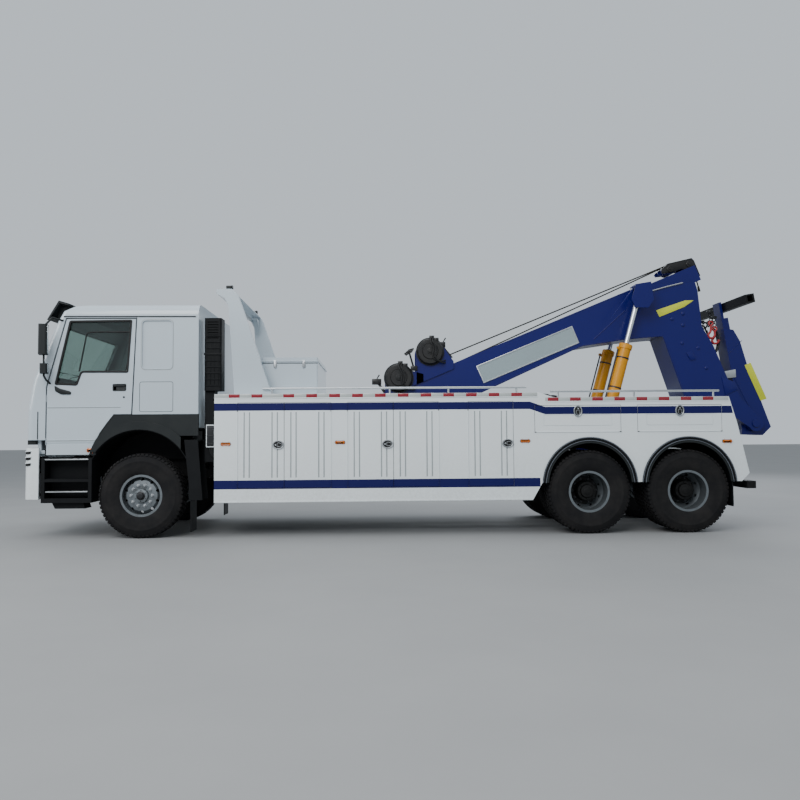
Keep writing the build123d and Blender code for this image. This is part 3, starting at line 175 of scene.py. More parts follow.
coach_white = coach_paint("white_coach_paint", "#e4ebed", "#8f8a7e", dust=0.30)
# The cab's paint is the body's white darkened to pale grey: painted shade of the cab side.
shaded_cab_white = coach_paint("pale_grey_cab_paint", "#bac6ce", "#8f8a7e", dust=0.35)
boom_blue = coach_paint("blue_two_pack_paint", "#070b5c", "#2a3160", dust=0.15, roughness=0.36, coat=0.12, specular=0.3)
stripe_blue = coach_paint("blue_stripe_film", "#04054e", "#2c3460", dust=0.08, roughness=0.36, coat=0.0, specular=0.3)
chassis_black = coach_paint("black_chassis_paint", "#060709", "#24231f", dust=0.6, roughness=0.5, coat=0.0, specular=0.25)
cylinder_yellow = coach_paint("yellow_cylinder_enamel", "#c8870a", "#5d4a24", dust=0.2, roughness=0.4, coat=0.1,
                              specular=0.3)
hook_red = coach_paint("red_hook_enamel", "#9c1418", "#4b3230", dust=0.3, roughness=0.4)

# %% [markdown]
# ### Black mouldings, rubber and tyre
# Mudguards, steps and visors are moulded polypropylene with a leathery grain from the tool.
# Rubber has no gloss coat and greys with dust, so it is a rough, nearly flat black.


# %% Mouldings and rubber
def moulded(name, code, grain_mm, depth_mm, roughness, dust_code, dust, specular=0.4):
    """Black plastic or rubber: a fine grain, and dust lying in it."""
    material, tree, principled, where = start_finish(name, Metallic=0.0, Specular_IOR_Level=specular)
    grain = node(tree, "TexVoronoi", {"Vector": where, "Scale": per_mm(grain_mm), "Randomness": 1.0},
                 feature="SMOOTH_F1")
    drift = node(tree, "TexNoise", {"Vector": where, "Scale": per_mm(220), "Detail": 5.0, "Roughness": 0.65})
    amount = node(tree, "MapRange", {"Value": drift.outputs["Fac"], "From Min": 0.4, "From Max": 0.8,
                                     "To Max": dust})
    mixed = node(tree, "MixRGB", {"Fac": amount.outputs["Result"], "Color1": linear(code),
                                  "Color2": linear(dust_code)})
    tree.links.new(mixed.outputs["Color"], principled.inputs["Base Color"])
    rough = node(tree, "MapRange", {"Value": drift.outputs["Fac"], "To Min": roughness - 0.08,
                                    "To Max": roughness + 0.12})
    tree.links.new(rough.outputs["Result"], principled.inputs["Roughness"])
    edge = node(tree, "Bevel", {"Radius": 3 * MM}, samples=4)
    bump = node(tree, "Bump", {"Strength": 0.35, "Distance": depth_mm * MM, "Height": grain.outputs["Distance"],
                               "Normal": edge.outputs["Normal"]})
    tree.links.new(bump.outputs["Normal"], principled.inputs["Normal"])
    return material


grained_black = moulded("grained_black_moulding", "#0f1517", 5, 0.5, 0.5, "#2f3331", 0.25, specular=0.35)
step_black = moulded("black_step_moulding", "#07090c", 5, 0.5, 0.55, "#1d2022", 0.25, specular=0.2)
tyre_black = moulded("moulded_tyre_rubber", "#121214", 7, 0.4, 0.82, "#3d3a37", 0.35, specular=0.25)
seal_black = moulded("black_rubber_seal", "#0c0d0e", 4, 0.2, 0.6, "#2c2c2b", 0.2)
hose_black = moulded("black_hydraulic_hose", "#101113", 3, 0.3, 0.5, "#35332f", 0.25)
winch_black = moulded("black_winch_casting", "#0a0b0d", 8, 0.6, 0.4, "#2c2824", 0.4, specular=0.45)
lining_grey = moulded("grey_cab_lining", "#44474b", 4, 0.4, 0.85, "#5d5d5c", 0.2, specular=0.2)
seat_cloth = moulded("dark_seat_cloth", "#202227", 3, 0.5, 0.95, "#2f3136", 0.3, specular=0.1)

# %% [markdown]
# ### Bare metals
# Zinc-plated tube is pale and streaky, a hydraulic rod is hard chrome ground to a mirror, and
# wheel enamel is a silver paint with brake dust in its hollows. A noise stretched along one
# direction draws the streaks that drawing or grinding leaves.


# %% Bare metals
def bare_metal(name, code, roughness, streak_mm, spread=0.12, metallic=1.0, grime=0.25, grime_code="#3a3631"):
    """Metal with streaks along X and blotches of grime."""
    material, tree, principled, where = start_finish(name, Metallic=metallic)
    stretched = node(tree, "Mapping", {"Vector": where, "Scale": (0.04, 1.0, 1.0)})
    streak = node(tree, "TexNoise", {"Vector": stretched.outputs["Vector"], "Scale": per_mm(streak_mm),
                                     "Detail": 3.0})
    blotch = node(tree, "TexNoise", {"Vector": where, "Scale": per_mm(120), "Detail": 6.0, "Roughness": 0.7})
    amount = node(tree, "MapRange", {"Value": blotch.outputs["Fac"], "From Min": 0.5, "From Max": 0.85,
                                     "To Max": grime})
    mixed = node(tree, "MixRGB", {"Fac": amount.outputs["Result"], "Color1": linear(code),
                                  "Color2": linear(grime_code)})
    tree.links.new(mixed.outputs["Color"], principled.inputs["Base Color"])
    rough = node(tree, "MapRange", {"Value": streak.outputs["Fac"], "To Min": roughness - spread / 2,
                                    "To Max": roughness + spread})
    tree.links.new(rough.outputs["Result"], principled.inputs["Roughness"])
    edge = node(tree, "Bevel", {"Radius": 2 * MM}, samples=4)
    bump = node(tree, "Bump", {"Strength": 0.08, "Distance": 0.3 * MM, "Height": streak.outputs["Fac"],
                               "Normal": edge.outputs["Normal"]})
    tree.links.new(bump.outputs["Normal"], principled.inputs["Normal"])
    return material


zinc_steel = bare_metal("zinc_plated_steel", "#b4b8bb", 0.38, 3)
hard_chrome = bare_metal("hard_chrome_rod", "#d6d8da", 0.12, 2, spread=0.05, grime=0.1)
wheel_silver = bare_metal("silver_wheel_enamel", "#767c80", 0.42, 6, metallic=0.75, grime=0.6)
dark_steel = bare_metal("oiled_dark_steel", "#3c3d3f", 0.4, 4, metallic=0.9, grime=0.4)
rolled_alloy = bare_metal("rolled_aluminium_tread", "#c3c7c9", 0.4, 3, grime=0.35)

# %% [markdown]
# ### Glass and lenses
# Side and front glass is laminated and slightly green. It is real glass here, 6 to 9 mm thick,
# so its own refraction and the dark cab behind it give the right depth.


# %% Glass and lenses
def clear_body(name, code, roughness=0.02, transmission=1.0, ior=1.5, rib_mm=0):
    """Glass or lens plastic; rib_mm moulds vertical ribs into its back."""
    material, tree, principled, where = start_finish(name, Transmission_Weight=transmission, IOR=ior,
                                                     Roughness=roughness)
    haze = node(tree, "TexNoise", {"Vector": where, "Scale": per_mm(300), "Detail": 3.0})
    base = linear(code)
    faded = tuple(c * 0.9 for c in base[:3]) + (1.0,)
    tint = node(tree, "MixRGB", {"Fac": haze.outputs["Fac"], "Color1": base, "Color2": faded})
    tree.links.new(tint.outputs["Color"], principled.inputs["Base Color"])
    if rib_mm:
        rib = node(tree, "TexWave", {"Vector": where, "Scale": per_mm(rib_mm) / 6.283}, bands_direction="X")
        bump = node(tree, "Bump", {"Strength": 0.4, "Distance": 1.5 * MM, "Height": rib.outputs["Fac"]})
        tree.links.new(bump.outputs["Normal"], principled.inputs["Normal"])
    return material


window_glass = clear_body("tinted_safety_glass", "#b9cbc5")
amber_lens = clear_body("amber_marker_lens", "#e8780a", roughness=0.18, transmission=0.25, rib_mm=8)
red_lens = clear_body("red_tail_lens", "#a80c10", roughness=0.18, transmission=0.25, rib_mm=8)
clear_lens = clear_body("clear_lamp_lens", "#d4dadd", roughness=0.04, transmission=0.96, rib_mm=14)

# %% Give every CAD node its finish
FINISH_OF_SLOT = {
    "body_white": coach_white, "boom_paint": boom_blue, "inner_paint": boom_blue, "frame_black": chassis_black,
    "bare_steel": zinc_steel, "chrome_rod": hard_chrome, "wheel_steel": wheel_silver, "tyre_rubber": tyre_black,
    "dark_plastic": grained_black, "lamp_lens": amber_lens, "glazing": window_glass, "cab_lining": lining_grey,
    "cylinder_paint": cylinder_yellow}
slot_of = {part["node"]: part["material_slot"] for part in frame["record"]["subparts"]}
for name, cad in nodes.items():
    cad.data.materials.clear()
    cad.data.materials.append(FINISH_OF_SLOT[slot_of[name]])
nodes["lift_barrels"].data.materials[0] = cylinder_yellow
for name in ("winch_drum_front", "winch_drum_rear"):
    nodes[name].data.materials[0] = dark_steel
nodes["winch_frames"].data.materials[0] = boom_blue
# Cab, doors and tower take the white paint darkened to grey as painted shade.
for name in ("cab_shell", "door_left", "door_right", "light_tower"):
    nodes[name].data.materials[0] = shaded_cab_white
for name in ("guards_and_steps", "air_intake", "arch_liners"):
    nodes[name].data.materials[0] = step_black

# %% [markdown]
# ## Modelling by hand, in code
# The fine pieces are modelled as in Blender's own window: a primitive is added, shaped in edit
# mode and finished with modifiers. An operator works on whatever is selected, so each helper
# first deselects everything. An outline is walked with one vertex that is extruded from point
# to point; turned pieces are such a line spun round an axis.


# %% Helpers: select, start, join
def only(*objects):
    """Select just these objects; the last one is the active one."""
    bpy.ops.object.select_all(action="DESELECT")
    for obj in objects:
        obj.select_set(True)
        bpy.context.view_layer.objects.active = obj


def start(add, **settings):
    """Add a primitive by its operator, with nothing else selected."""
    bpy.ops.object.select_all(action="DESELECT")
    add(**settings)
    return bpy.context.object


def joined(*objects):
    """Several meshes as one piece."""
    for obj in objects:
        bake(obj)
    only(*objects)
    if len(objects) > 1:
        bpy.ops.object.join()
    return bpy.context.object


def bake(obj):
    """Put the place into the mesh and apply the modifiers."""
    only(obj)
    bpy.ops.object.transform_apply(location=True, rotation=True, scale=True)
    for modifier in list(obj.modifiers):
        bpy.ops.object.modifier_apply(modifier=modifier.name)
    return obj


def duplicate(obj, matrix):
    """A copy with its own mesh, moved by a matrix that goes into the mesh."""
    twin = obj.copy()
    twin.data = obj.data.copy()
    bpy.context.collection.objects.link(twin)
    twin.data.transform(matrix)
    return twin


def moved(obj, x=0.0, y=0.0, z=0.0):
    """A copy moved by millimetres."""
    return duplicate(obj, Matrix.Translation(Vector((x, y, z)) * MM))


def right_twin(obj):
    """The same piece on the truck's right side. Its faces are turned out again by settle()."""
    return duplicate(bake(obj), Matrix.Diagonal((1, -1, 1, 1)))


def both_sides(obj):
    """A left-hand piece and its right-hand twin as one mesh."""
    return joined(obj, right_twin(obj))


# %% Helpers: pick by place, settle a finished piece
def pick(obj, test, kind="FACE"):
    """In edit mode, select the faces or edges whose centre (in mm) passes a test."""
    bpy.ops.mesh.select_mode(type=kind)
    bpy.ops.mesh.select_all(action="DESELECT")
    bpy.ops.object.mode_set(mode="OBJECT")
    mesh = obj.data
    for item in mesh.polygons if kind == "FACE" else mesh.edges:
        corners = [mesh.vertices[i].co for i in item.vertices]
        item.select = bool(test(sum(corners, Vector()) / len(corners) / MM))
    bpy.ops.object.mode_set(mode="EDIT")


def settle(obj, name, finish, body, smooth=32):
    """Weld and turn the faces out, then name the piece, give it its finish and its body."""
    bake(obj)
    obj.name = obj.data.name = name
    bpy.ops.object.mode_set(mode="EDIT")
    bpy.ops.mesh.select_all(action="SELECT")
    bpy.ops.mesh.remove_doubles(threshold=0.01 * MM)
    bpy.ops.mesh.normals_make_consistent(inside=False)
    bpy.ops.object.mode_set(mode="OBJECT")
    bpy.ops.object.shade_smooth_by_angle(angle=math.radians(smooth))
    obj.data.materials.clear()
    obj.data.materials.append(finish)
    if body:
        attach(obj, body)
    print(name, "on", body, len(obj.data.polygons), "faces")
    return obj


# %% Helpers: the basic shapes
def soften(obj, edge, segments=2):
    """Round the sharp edges with a bevel modifier."""
    if edge:
        bevel = obj.modifiers.new("soft_edges", "BEVEL")
        bevel.width = edge * MM
        bevel.segments = segments
        bevel.limit_method = "ANGLE"
    return obj


def block(x0, x1, y0, y1, z0, z1, edge=3, segments=2):
    """A block between two corners in mm, its edges rounded."""
    centre = Vector((x0 + x1, y0 + y1, z0 + z1)) * MM / 2
    obj = start(bpy.ops.mesh.primitive_cube_add, size=1, location=centre)
    obj.scale = Vector((abs(x1 - x0), abs(y1 - y0), abs(z1 - z0))) * MM
    bpy.ops.object.transform_apply(location=True, rotation=True, scale=True)
    return soften(obj, edge, segments)


def rod(a, b, r, sides=14, edge=0, tip=None):
    """A round bar from a to b in mm, with another radius at b if tip is given."""
    a, b = Vector(a) * MM, Vector(b) * MM
    settings = dict(vertices=sides, depth=(b - a).length, location=(a + b) / 2,
                    rotation=(b - a).to_track_quat("Z", "Y").to_euler())
    if tip is None:
        obj = start(bpy.ops.mesh.primitive_cylinder_add, radius=r * MM, **settings)
    else:
        obj = start(bpy.ops.mesh.primitive_cone_add, radius1=r * MM, radius2=tip * MM, **settings)
    bpy.ops.object.transform_apply(location=True, rotation=True, scale=True)
    return soften(obj, edge, 1)


def walk(points):
    """Edit mode: one vertex extruded along points in mm. All of the line is left selected."""
    obj = start(bpy.ops.mesh.primitive_plane_add, size=0.01)
    bpy.ops.object.mode_set(mode="EDIT")
    bpy.ops.mesh.select_mode(type="VERT")
    bpy.ops.mesh.select_all(action="SELECT")
    bpy.ops.mesh.merge(type="CENTER")
    here = Vector()
    for number, point in enumerate(points):
        step = Vector(point) * MM - here
        if number:
            bpy.ops.mesh.extrude_region_move(TRANSFORM_OT_translate={"value": step})
        else:
            bpy.ops.transform.translate(value=step)
        here += step
    bpy.ops.mesh.select_all(action="SELECT")
    return obj


def flat(points, corner=0, ring=0):
    """Edit mode: a closed outline with its face, corners rounded, and only a rim if ring is a width."""
    obj = walk(list(points) + [points[0]])
    bpy.ops.mesh.remove_doubles(threshold=0.01 * MM)
    bpy.ops.mesh.edge_face_add()
    if corner:
        bpy.ops.mesh.bevel(offset=corner * MM, segments=5, affect="VERTICES")
    if ring:
        bpy.ops.mesh.select_mode(type="FACE")
        bpy.ops.mesh.select_all(action="SELECT")
        bpy.ops.mesh.inset(thickness=ring * MM, depth=0)
        bpy.ops.mesh.delete(type="FACE")
    bpy.ops.mesh.select_all(action="SELECT")
    return obj


def prism(points, push, corner=0, ring=0, edge=0):
    """A flat outline pushed out to a solid plate."""
    obj = flat(points, corner, ring)
    bpy.ops.mesh.extrude_region_move(TRANSFORM_OT_translate={"value": Vector(push) * MM})
    bpy.ops.object.mode_set(mode="OBJECT")
    return soften(obj, edge)


def side_plate(points, y0, y1, **finish):
    """A plate of a side view outline (x, z) between two Y faces."""
    return prism([(x, y0, z) for x, z in points], (0, y1 - y0, 0), **finish)


def oblong(x0, x1, z0, z1):
    """Corners of an upright rectangle in the side view."""
    return [(x0, z0), (x1, z0), (x1, z1), (x0, z1)]


def lathe(profile, centre, axis, steps=32, angle=360):
    """A profile of (distance along the axis, radius) in mm, spun round the axis through centre."""
    along = Vector(axis).normalized()
    out = along.orthogonal().normalized()
    centre = Vector(centre)
    obj = walk([centre + along * s + out * r for s, r in profile])
    bpy.ops.mesh.spin(steps=steps, angle=math.radians(angle), center=centre * MM, axis=along)
    bpy.ops.mesh.select_all(action="SELECT")
    bpy.ops.mesh.remove_doubles(threshold=0.01 * MM)
    bpy.ops.object.mode_set(mode="OBJECT")
    return obj


def hose(points, r, sides=3, order=3):
    """A smooth tube along points in mm, closed at its ends."""
    obj = start(bpy.ops.curve.primitive_nurbs_path_add)
    curve = obj.data
    curve.splines.clear()
    spline = curve.splines.new("NURBS")
    spline.points.add(len(points) - 1)
    for made, point in zip(spline.points, points):
        made.co = (Vector(point) * MM).to_4d()
    spline.order_u = order
    spline.use_endpoint_u = True
    curve.bevel_depth = r * MM
    curve.bevel_resolution = sides
    curve.resolution_u = 5
    curve.use_fill_caps = True
    obj.matrix_world = Matrix.Identity(4)
    bpy.ops.object.convert(target="MESH")
    return bpy.context.object


def ring_of(obj, count, centre, first=0.0, axis="Y"):
    """Copies of a piece all round an axis through centre, as one mesh with the first."""
    bake(obj)
    centre = Vector(centre) * MM
    copies = []
    for i in range(count):
        turn = Matrix.Rotation(math.tau * i / count + math.radians(first), 4, axis)
        copies.append(duplicate(obj, Matrix.Translation(centre) @ turn @ Matrix.Translation(-centre)))
    bpy.data.objects.remove(obj)
    return joined(*copies)


SIDES = {"left": 1, "right": -1}

# %% [markdown]
# ## Tyres
# A drive tyre is moulded: its carcass is one turned section, and the mould presses blocks into
# the tread. Here the section is spun in 180 steps, and two steps of every three are pushed out
# by the groove depth, so that sixty blocks stand in each row, as on the real tyre. The blocks
# of neighbouring rows are set off by half a block. One tyre is made and copied to all ten places.

# %% Measures of the wheels
FRONT_AXLE_X = 3765
REAR_AXLE_X = {"1": -2235, "2": -3585}
AXLE_Z = 562
TYRE_Y = 1069
TWIN_STEP = 350
TREAD_STEPS = 180
GROOVE_DEPTH = 14
# half of the carcass, from the bead up: distance from the middle, radius
CARCASS = [(105, 262), (118, 268), (128, 288), (131, 291), (142, 325), (152, 370), (156, 410), (154.5, 448),
           (156, 452), (155, 462), (151, 470), (146, 492), (140, 512), (134, 528), (128, 544), (74, 547.5),
           (64, 548), (6, 548)]


# %% One tyre
def tyre_model():
    """A tyre round the Y axis at the origin, with its tread blocks."""
    section = CARCASS + [(-y, r) for y, r in reversed(CARCASS)]
    obj = walk([(0, y, r) for y, r in section + section[:1]])
    bpy.ops.mesh.spin(steps=TREAD_STEPS, angle=math.tau, center=(0, 0, 0), axis=(0, 1, 0))
    bpy.ops.mesh.select_all(action="SELECT")
    bpy.ops.mesh.remove_doubles(threshold=0.01 * MM)
    bpy.ops.mesh.normals_make_consistent(inside=False)
    for inner, outer, shift in ((70, 132, 0), (5, 66, 1.5)):
        for sign in (1, -1):

            def block_face(c, lo=inner, hi=outer, late=shift, side=sign):
                step = int((math.degrees(math.atan2(c.x, c.z)) % 360) / (360 / TREAD_STEPS) + 1e-3)
                return lo < side * c.y < hi and math.hypot(c.x, c.z) > 530 and (step + int(late * side)) % 3 != 0

            pick(obj, block_face)
            bpy.ops.mesh.extrude_region_shrink_fatten(TRANSFORM_OT_shrink_fatten={"value": GROOVE_DEPTH * MM})
    bpy.ops.object.mode_set(mode="OBJECT")
    return obj


tyre = tyre_model()
for side, sign in SIDES.items():
    piece = moved(tyre, FRONT_AXLE_X, sign * TYRE_Y, AXLE_Z)
    settle(piece, f"front_tyre_{side}", tyre_black, f"wheel_front_{side}", smooth=38)
    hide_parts(f"tyre_front_{side}")
    for number, x in REAR_AXLE_X.items():
        pair = [moved(tyre, x, sign * y, AXLE_Z) for y in (TYRE_Y, TYRE_Y - TWIN_STEP)]
        piece = settle(joined(*pair), f"twin_tyres_{number}_{side}", tyre_black, f"wheels_rear_{number}_{side}",
                       smooth=38)
        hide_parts(f"tyres_rear_{number}_{side}")
bpy.data.objects.remove(tyre)

# %% [markdown]
# ## Wheel nuts and hubs
# Ten nuts hold each disc. A nut is a six-sided bar with its corners turned off, on a round
# washer face, and the stud's end stands out of it. Bright studs are what makes a truck wheel
# readable from far off. The front hub has a pressed cap with small screws; the rear hub is a
# heavy casting with the shaft flange bolted on.

# %% Nuts
NUT_AT_FRONT = (140, TYRE_Y + 92)
NUT_AT_REAR = (163, TYRE_Y - TWIN_STEP / 2 + 22)


def wheel_nut(r, y):
    """One nut above the axle, standing on the disc at y."""
    washer = rod((0, y - 1, r), (0, y + 5, r), 24, sides=14, edge=1.5)
    nut = rod((0, y + 4, r), (0, y + 27, r), 19.5, sides=6, edge=2.5)
    stud = rod((0, y + 26, r), (0, y + 40, r), 11, sides=10, edge=1.5)
    return joined(washer, nut, stud)


def hub_parts(front):
    """Nuts, cap screws and valve of one left-hand wheel, at the origin."""
    r, y = NUT_AT_FRONT if front else NUT_AT_REAR
    nuts = ring_of(wheel_nut(r, y), 10, (0, 0, 0), first=18)
    if front:
        base = TYRE_Y + 134
        screws = ring_of(rod((0, base - 4, 74), (0, base + 6, 74), 7, sides=6, edge=1), 6, (0, 0, 0))
        cap = lathe([(base - 2, 62), (base + 4, 58), (base + 8, 44), (base + 26, 40), (base + 32, 32), (base + 34, 0)],
                    (0, 0, 0), (0, 1, 0), steps=36)
    else:
        base = TYRE_Y - TWIN_STEP / 2 + 172
        screws = ring_of(rod((0, base - 4, 107), (0, base + 14, 107), 10, sides=6, edge=1.5), 8, (0, 0, 0))
        cap = lathe([(base + 30, 54), (base + 42, 50), (base + 46, 36), (base + 46, 0)], (0, 0, 0), (0, 1, 0), steps=36)
    valve_y = TYRE_Y + 60
    valve = rod((0, valve_y - 30, 236), (0, valve_y + 34, 228), 5, sides=8, edge=1)
    return nuts, joined(screws, cap, valve)


print("nuts at radius", NUT_AT_FRONT[0], "and", NUT_AT_REAR[0])

# %% Dark discs inside the rear wheels
REAR_MID_Y = TYRE_Y - TWIN_STEP / 2
DISC = [(21, 189), (24, 191), (24, 137), (151, 127), (174, 124), (174, 94), (207, 84), (212, 52), (212, 0), (208, 0),
        (208, 50), (203, 80), (170, 90), (170, 120), (150, 123), (21, 132), (21, 189)]
for number, x in REAR_AXLE_X.items():
    disc = bake(lathe(DISC, (x, REAR_MID_Y, AXLE_Z), (0, 1, 0), steps=64))
    settle(right_twin(disc), f"wheel_disc_{number}_right", chassis_black, f"wheels_rear_{number}_right")
    settle(disc, f"wheel_disc_{number}_left", chassis_black, f"wheels_rear_{number}_left")

# %% Nuts and hubs in place
for front, places in ((True, {"front": FRONT_AXLE_X}), (False, REAR_AXLE_X)):
    nuts, hub = hub_parts(front)
    for place, x in places.items():
        for side, sign in SIDES.items():
            body = f"wheel_front_{side}" if front else f"wheels_rear_{place}_{side}"
            to_wheel = Matrix.Translation((x * MM, 0, AXLE_Z * MM)) @ Matrix.Diagonal((1, sign, 1, 1))
            settle(duplicate(nuts, to_wheel), f"wheel_nuts_{place}_{side}", zinc_steel if front else dark_steel, body)
            settle(duplicate(hub, to_wheel), f"hub_{place}_{side}", dark_steel if front else chassis_black, body)
    bpy.data.objects.remove(nuts)
    bpy.data.objects.remove(hub)

# %% [markdown]
# ## Stripes on the side bodies
# The blue bands are cut film, rolled onto the paint after the doors are hung and then slit
# along every gap. The same is done here: one long strip is laid over the whole side and
# bisected into the stretches that ride on each door, lid or the body itself.

# %% Measures of the side bodies
BODY_Y = 1250
FILM_T = 0.8
LEAVES = [("1a", 2480, 1866), ("1b", 1860, 1245), ("2a", 1017, 409), ("2b", 403, -200), ("3", -600, -1204)]
LIDS = [("front", -1500, -2664), ("rear", -2897, -4043)]
HINGE_Y, HINGE_R = BODY_Y + 4, 3.9
LEAF_Z = (655, 1785)
LID_Z = (1372, 1725)
GAP = 5
BODY_FRONT_X = 2790
KNEE_FRONT_X, KNEE_REAR_X, REAR_DROP = -1434, -1637, 72
UPPER_BAND = (1682, 1781)
LOWER_BAND = (640, 757)
LOWER_BAND_END_X = -1562
REAR_END_X = -4180


# %% The two bands, cut at the gaps
def band_strips():
    """The upper band with its knee, and the lower one."""
    low, high = UPPER_BAND
    upper = [(BODY_FRONT_X, low), (BODY_FRONT_X, high), (KNEE_FRONT_X, high), (KNEE_REAR_X, high - REAR_DROP),
             (REAR_END_X, high - REAR_DROP), (REAR_END_X - 20, low - REAR_DROP), (KNEE_REAR_X, low - REAR_DROP),
             (KNEE_FRONT_X, low)]
    lower = oblong(LOWER_BAND_END_X, BODY_FRONT_X, *LOWER_BAND)
    return [bake(side_plate(points, BODY_Y - 0.2, BODY_Y + FILM_T)) for points in (upper, lower)]


def slit(strip, x0, x1, z0, z1):
    """The part of a strip inside a rectangle of the side view, or None."""
    cut = moved(strip)
    only(cut)
    bpy.ops.object.mode_set(mode="EDIT")
    for place, direction in (((x0, 0, 0), (-1, 0, 0)), ((x1, 0, 0), (1, 0, 0)),
                             ((0, 0, z0), (0, 0, -1)), ((0, 0, z1), (0, 0, 1))):
        bpy.ops.mesh.select_all(action="SELECT")
        bpy.ops.mesh.bisect(plane_co=Vector(place) * MM, plane_no=direction, use_fill=True, clear_outer=True)
    bpy.ops.object.mode_set(mode="OBJECT")
    if cut.data.polygons:
        return cut
    bpy.data.objects.remove(cut)
    return None


def stretches():
    """Owner of each rectangle of the side: body name without its side, and the rectangle."""
    doors = [(f"locker_leaf_{name}", x0, x1, *LEAF_Z) for name, x1, x0 in LEAVES]
    doors += [(f"locker_lid_{name}", x0, x1, *LID_Z) for name, x1, x0 in LIDS]
    fixed = []
    rear = -4300
    for body, x0, x1, z0, z1 in sorted(doors, key=lambda door: door[1]):
        if x0 - rear > 2 * GAP:
            fixed.append(("chassis", rear, x0 - GAP, 0, 2000))
        fixed.append(("chassis", x0 - GAP, x1 + GAP, 0, z0 - GAP))
        fixed.append(("chassis", x0 - GAP, x1 + GAP, z1 + GAP, 2000))
        rear = x1 + GAP
    return doors + fixed + [("chassis", rear, BODY_FRONT_X + 1, 0, 2000)]


strips = band_strips()
film_of = {}
for body, x0, x1, z0, z1 in stretches():
    pieces = [slit(strip, x0, x1, z0, z1) for strip in strips]
    film_of.setdefault(body, []).extend(piece for piece in pieces if piece)
for strip in strips:
    bpy.data.objects.remove(strip)
for name, x1, x0 in LEAVES:
    x = x0 - 3 if name.endswith("b") else x1 + 3
    for z0, z1 in ((LEAF_Z[0], LOWER_BAND[1]), UPPER_BAND):
        film_of[f"locker_leaf_{name}"].append(rod((x, HINGE_Y, z0), (x, HINGE_Y, z1), HINGE_R + 0.5))
for body, pieces in film_of.items():
    film = joined(*pieces)
    if body == "chassis":
        settle(both_sides(film), "bands_on_body", stripe_blue, "chassis")
        continue
    settle(right_twin(film), f"band_{body}_right", stripe_blue, f"{body}_right")
    settle(film, f"band_{body}_left", stripe_blue, f"{body}_left")

# %% [markdown]
# ## Reflective tape
# The tape along the deck's edge has red and white cells. Under its clear face are tiny
# prisms in a honeycomb, drawn here as cells 6 mm wide so that they show, which break the
# light into a slight sparkle.


# %% Tape finish
def prism_tape(name, code, dark_code):
    """Glossy tape over a honeycomb of prisms."""
    material, tree, principled, where = start_finish(name, Metallic=0.0, Roughness=0.22, Coat_Weight=0.5)
    cells = node(tree, "TexVoronoi", {"Vector": where, "Scale": per_mm(6), "Randomness": 0.15},
                 feature="DISTANCE_TO_EDGE")
    web = node(tree, "MapRange", {"Value": cells.outputs["Distance"], "From Max": 0.12})
    tint = node(tree, "MixRGB", {"Fac": web.outputs["Result"], "Color1": linear(dark_code), "Color2": linear(code)})
    tree.links.new(tint.outputs["Color"], principled.inputs["Base Color"])
    bump = node(tree, "Bump", {"Strength": 0.15, "Distance": 0.3 * MM, "Height": cells.outputs["Distance"]})
    tree.links.new(bump.outputs["Normal"], principled.inputs["Normal"])
    return material


red_tape = prism_tape("red_reflective_tape", "#a8182c", "#7a1220")
white_tape = prism_tape("white_reflective_tape", "#c3c8c6", "#a9afad")

# %% Tape along both decks
TAPE_H = 48
RED_W = 147
# runs of the tape: top z, front x, rear x, front edges of the red cells
TAPE_RUNS = [(1903, 2790, -1535, [2601, 2299] + [1876 - 306 * i for i in range(11)]),
             (1836, -1640, -4146, [-1678 - 302 * i for i in range(8)])]


def tape_cell(x0, x1, top):
    """One cell of tape between two x places."""
    return side_plate(oblong(x0, x1, top - TAPE_H, top), BODY_Y - 0.2, BODY_Y + 1.4, edge=0.4)


reds, whites = [], []
for top, front, rear, starts in TAPE_RUNS:
    edge = front
    for x in starts:
        whites.append(tape_cell(x + 2, edge - 2, top))
        reds.append(tape_cell(x - RED_W, x, top))
        edge = x - RED_W
    whites.append(tape_cell(rear, edge - 2, top))
settle(both_sides(joined(*reds)), "red_tape", red_tape, "chassis")
settle(both_sides(joined(*whites)), "white_tape", white_tape, "chassis")

# %% [markdown]
# ## Latches and hinges of the lockers
# The doors close with flush paddle latches: an oval zinc bezel, a black dish, a folding
# handle in it and a round lock. The oval is a turned ring that is stretched along the door.
# The pins of the hinges look out at both ends as dark dots.

# %% One latch
LATCH_R = 57
LATCH_STRETCH = 74 / 57
LATCH_T = 14


def turned_oval(profile):
    """A ring turned round Y at the origin and stretched along X to an oval."""
    ring = bake(lathe(profile, (0, 0, 0), (0, 1, 0), steps=40))
    ring.data.transform(Matrix.Diagonal((LATCH_STRETCH, 1, 1, 1)))
    return ring


def latch_parts():
    """Bezel and lock, and the black dish with its handle."""
    t, r = LATCH_T, LATCH_R
    bezel = turned_oval([(0, r + 2), (t, r + 2), (t + 4, r - 1), (t + 4, r - 7), (t + 1, r - 11), (0, r - 11), (0, r + 2)])
    lock = lathe([(t, 0), (t, 11), (t + 7, 11), (t + 8, 9), (t + 5, 7), (t + 5, 0)], (34, 0, 0), (0, 1, 0), steps=20)
    hoop = side_plate([(-50, -15), (-18, -27), (14, -27), (14, 27), (-18, 27), (-50, 15)], t + 0.5, t + 6, corner=8,
                      ring=5, edge=1)
    dish = turned_oval([(t - 4, 0), (t - 4, r - 9), (t + 1.2, r - 9), (t + 0.5, r - 14), (t + 0.5, 0)])
    paddle = side_plate([(-42, -10), (-15, -20), (6, -20), (6, 20), (-15, 20), (-42, 10)], t, t + 3, corner=6, edge=1)
    return joined(bezel, lock, hoop), joined(dish, paddle)


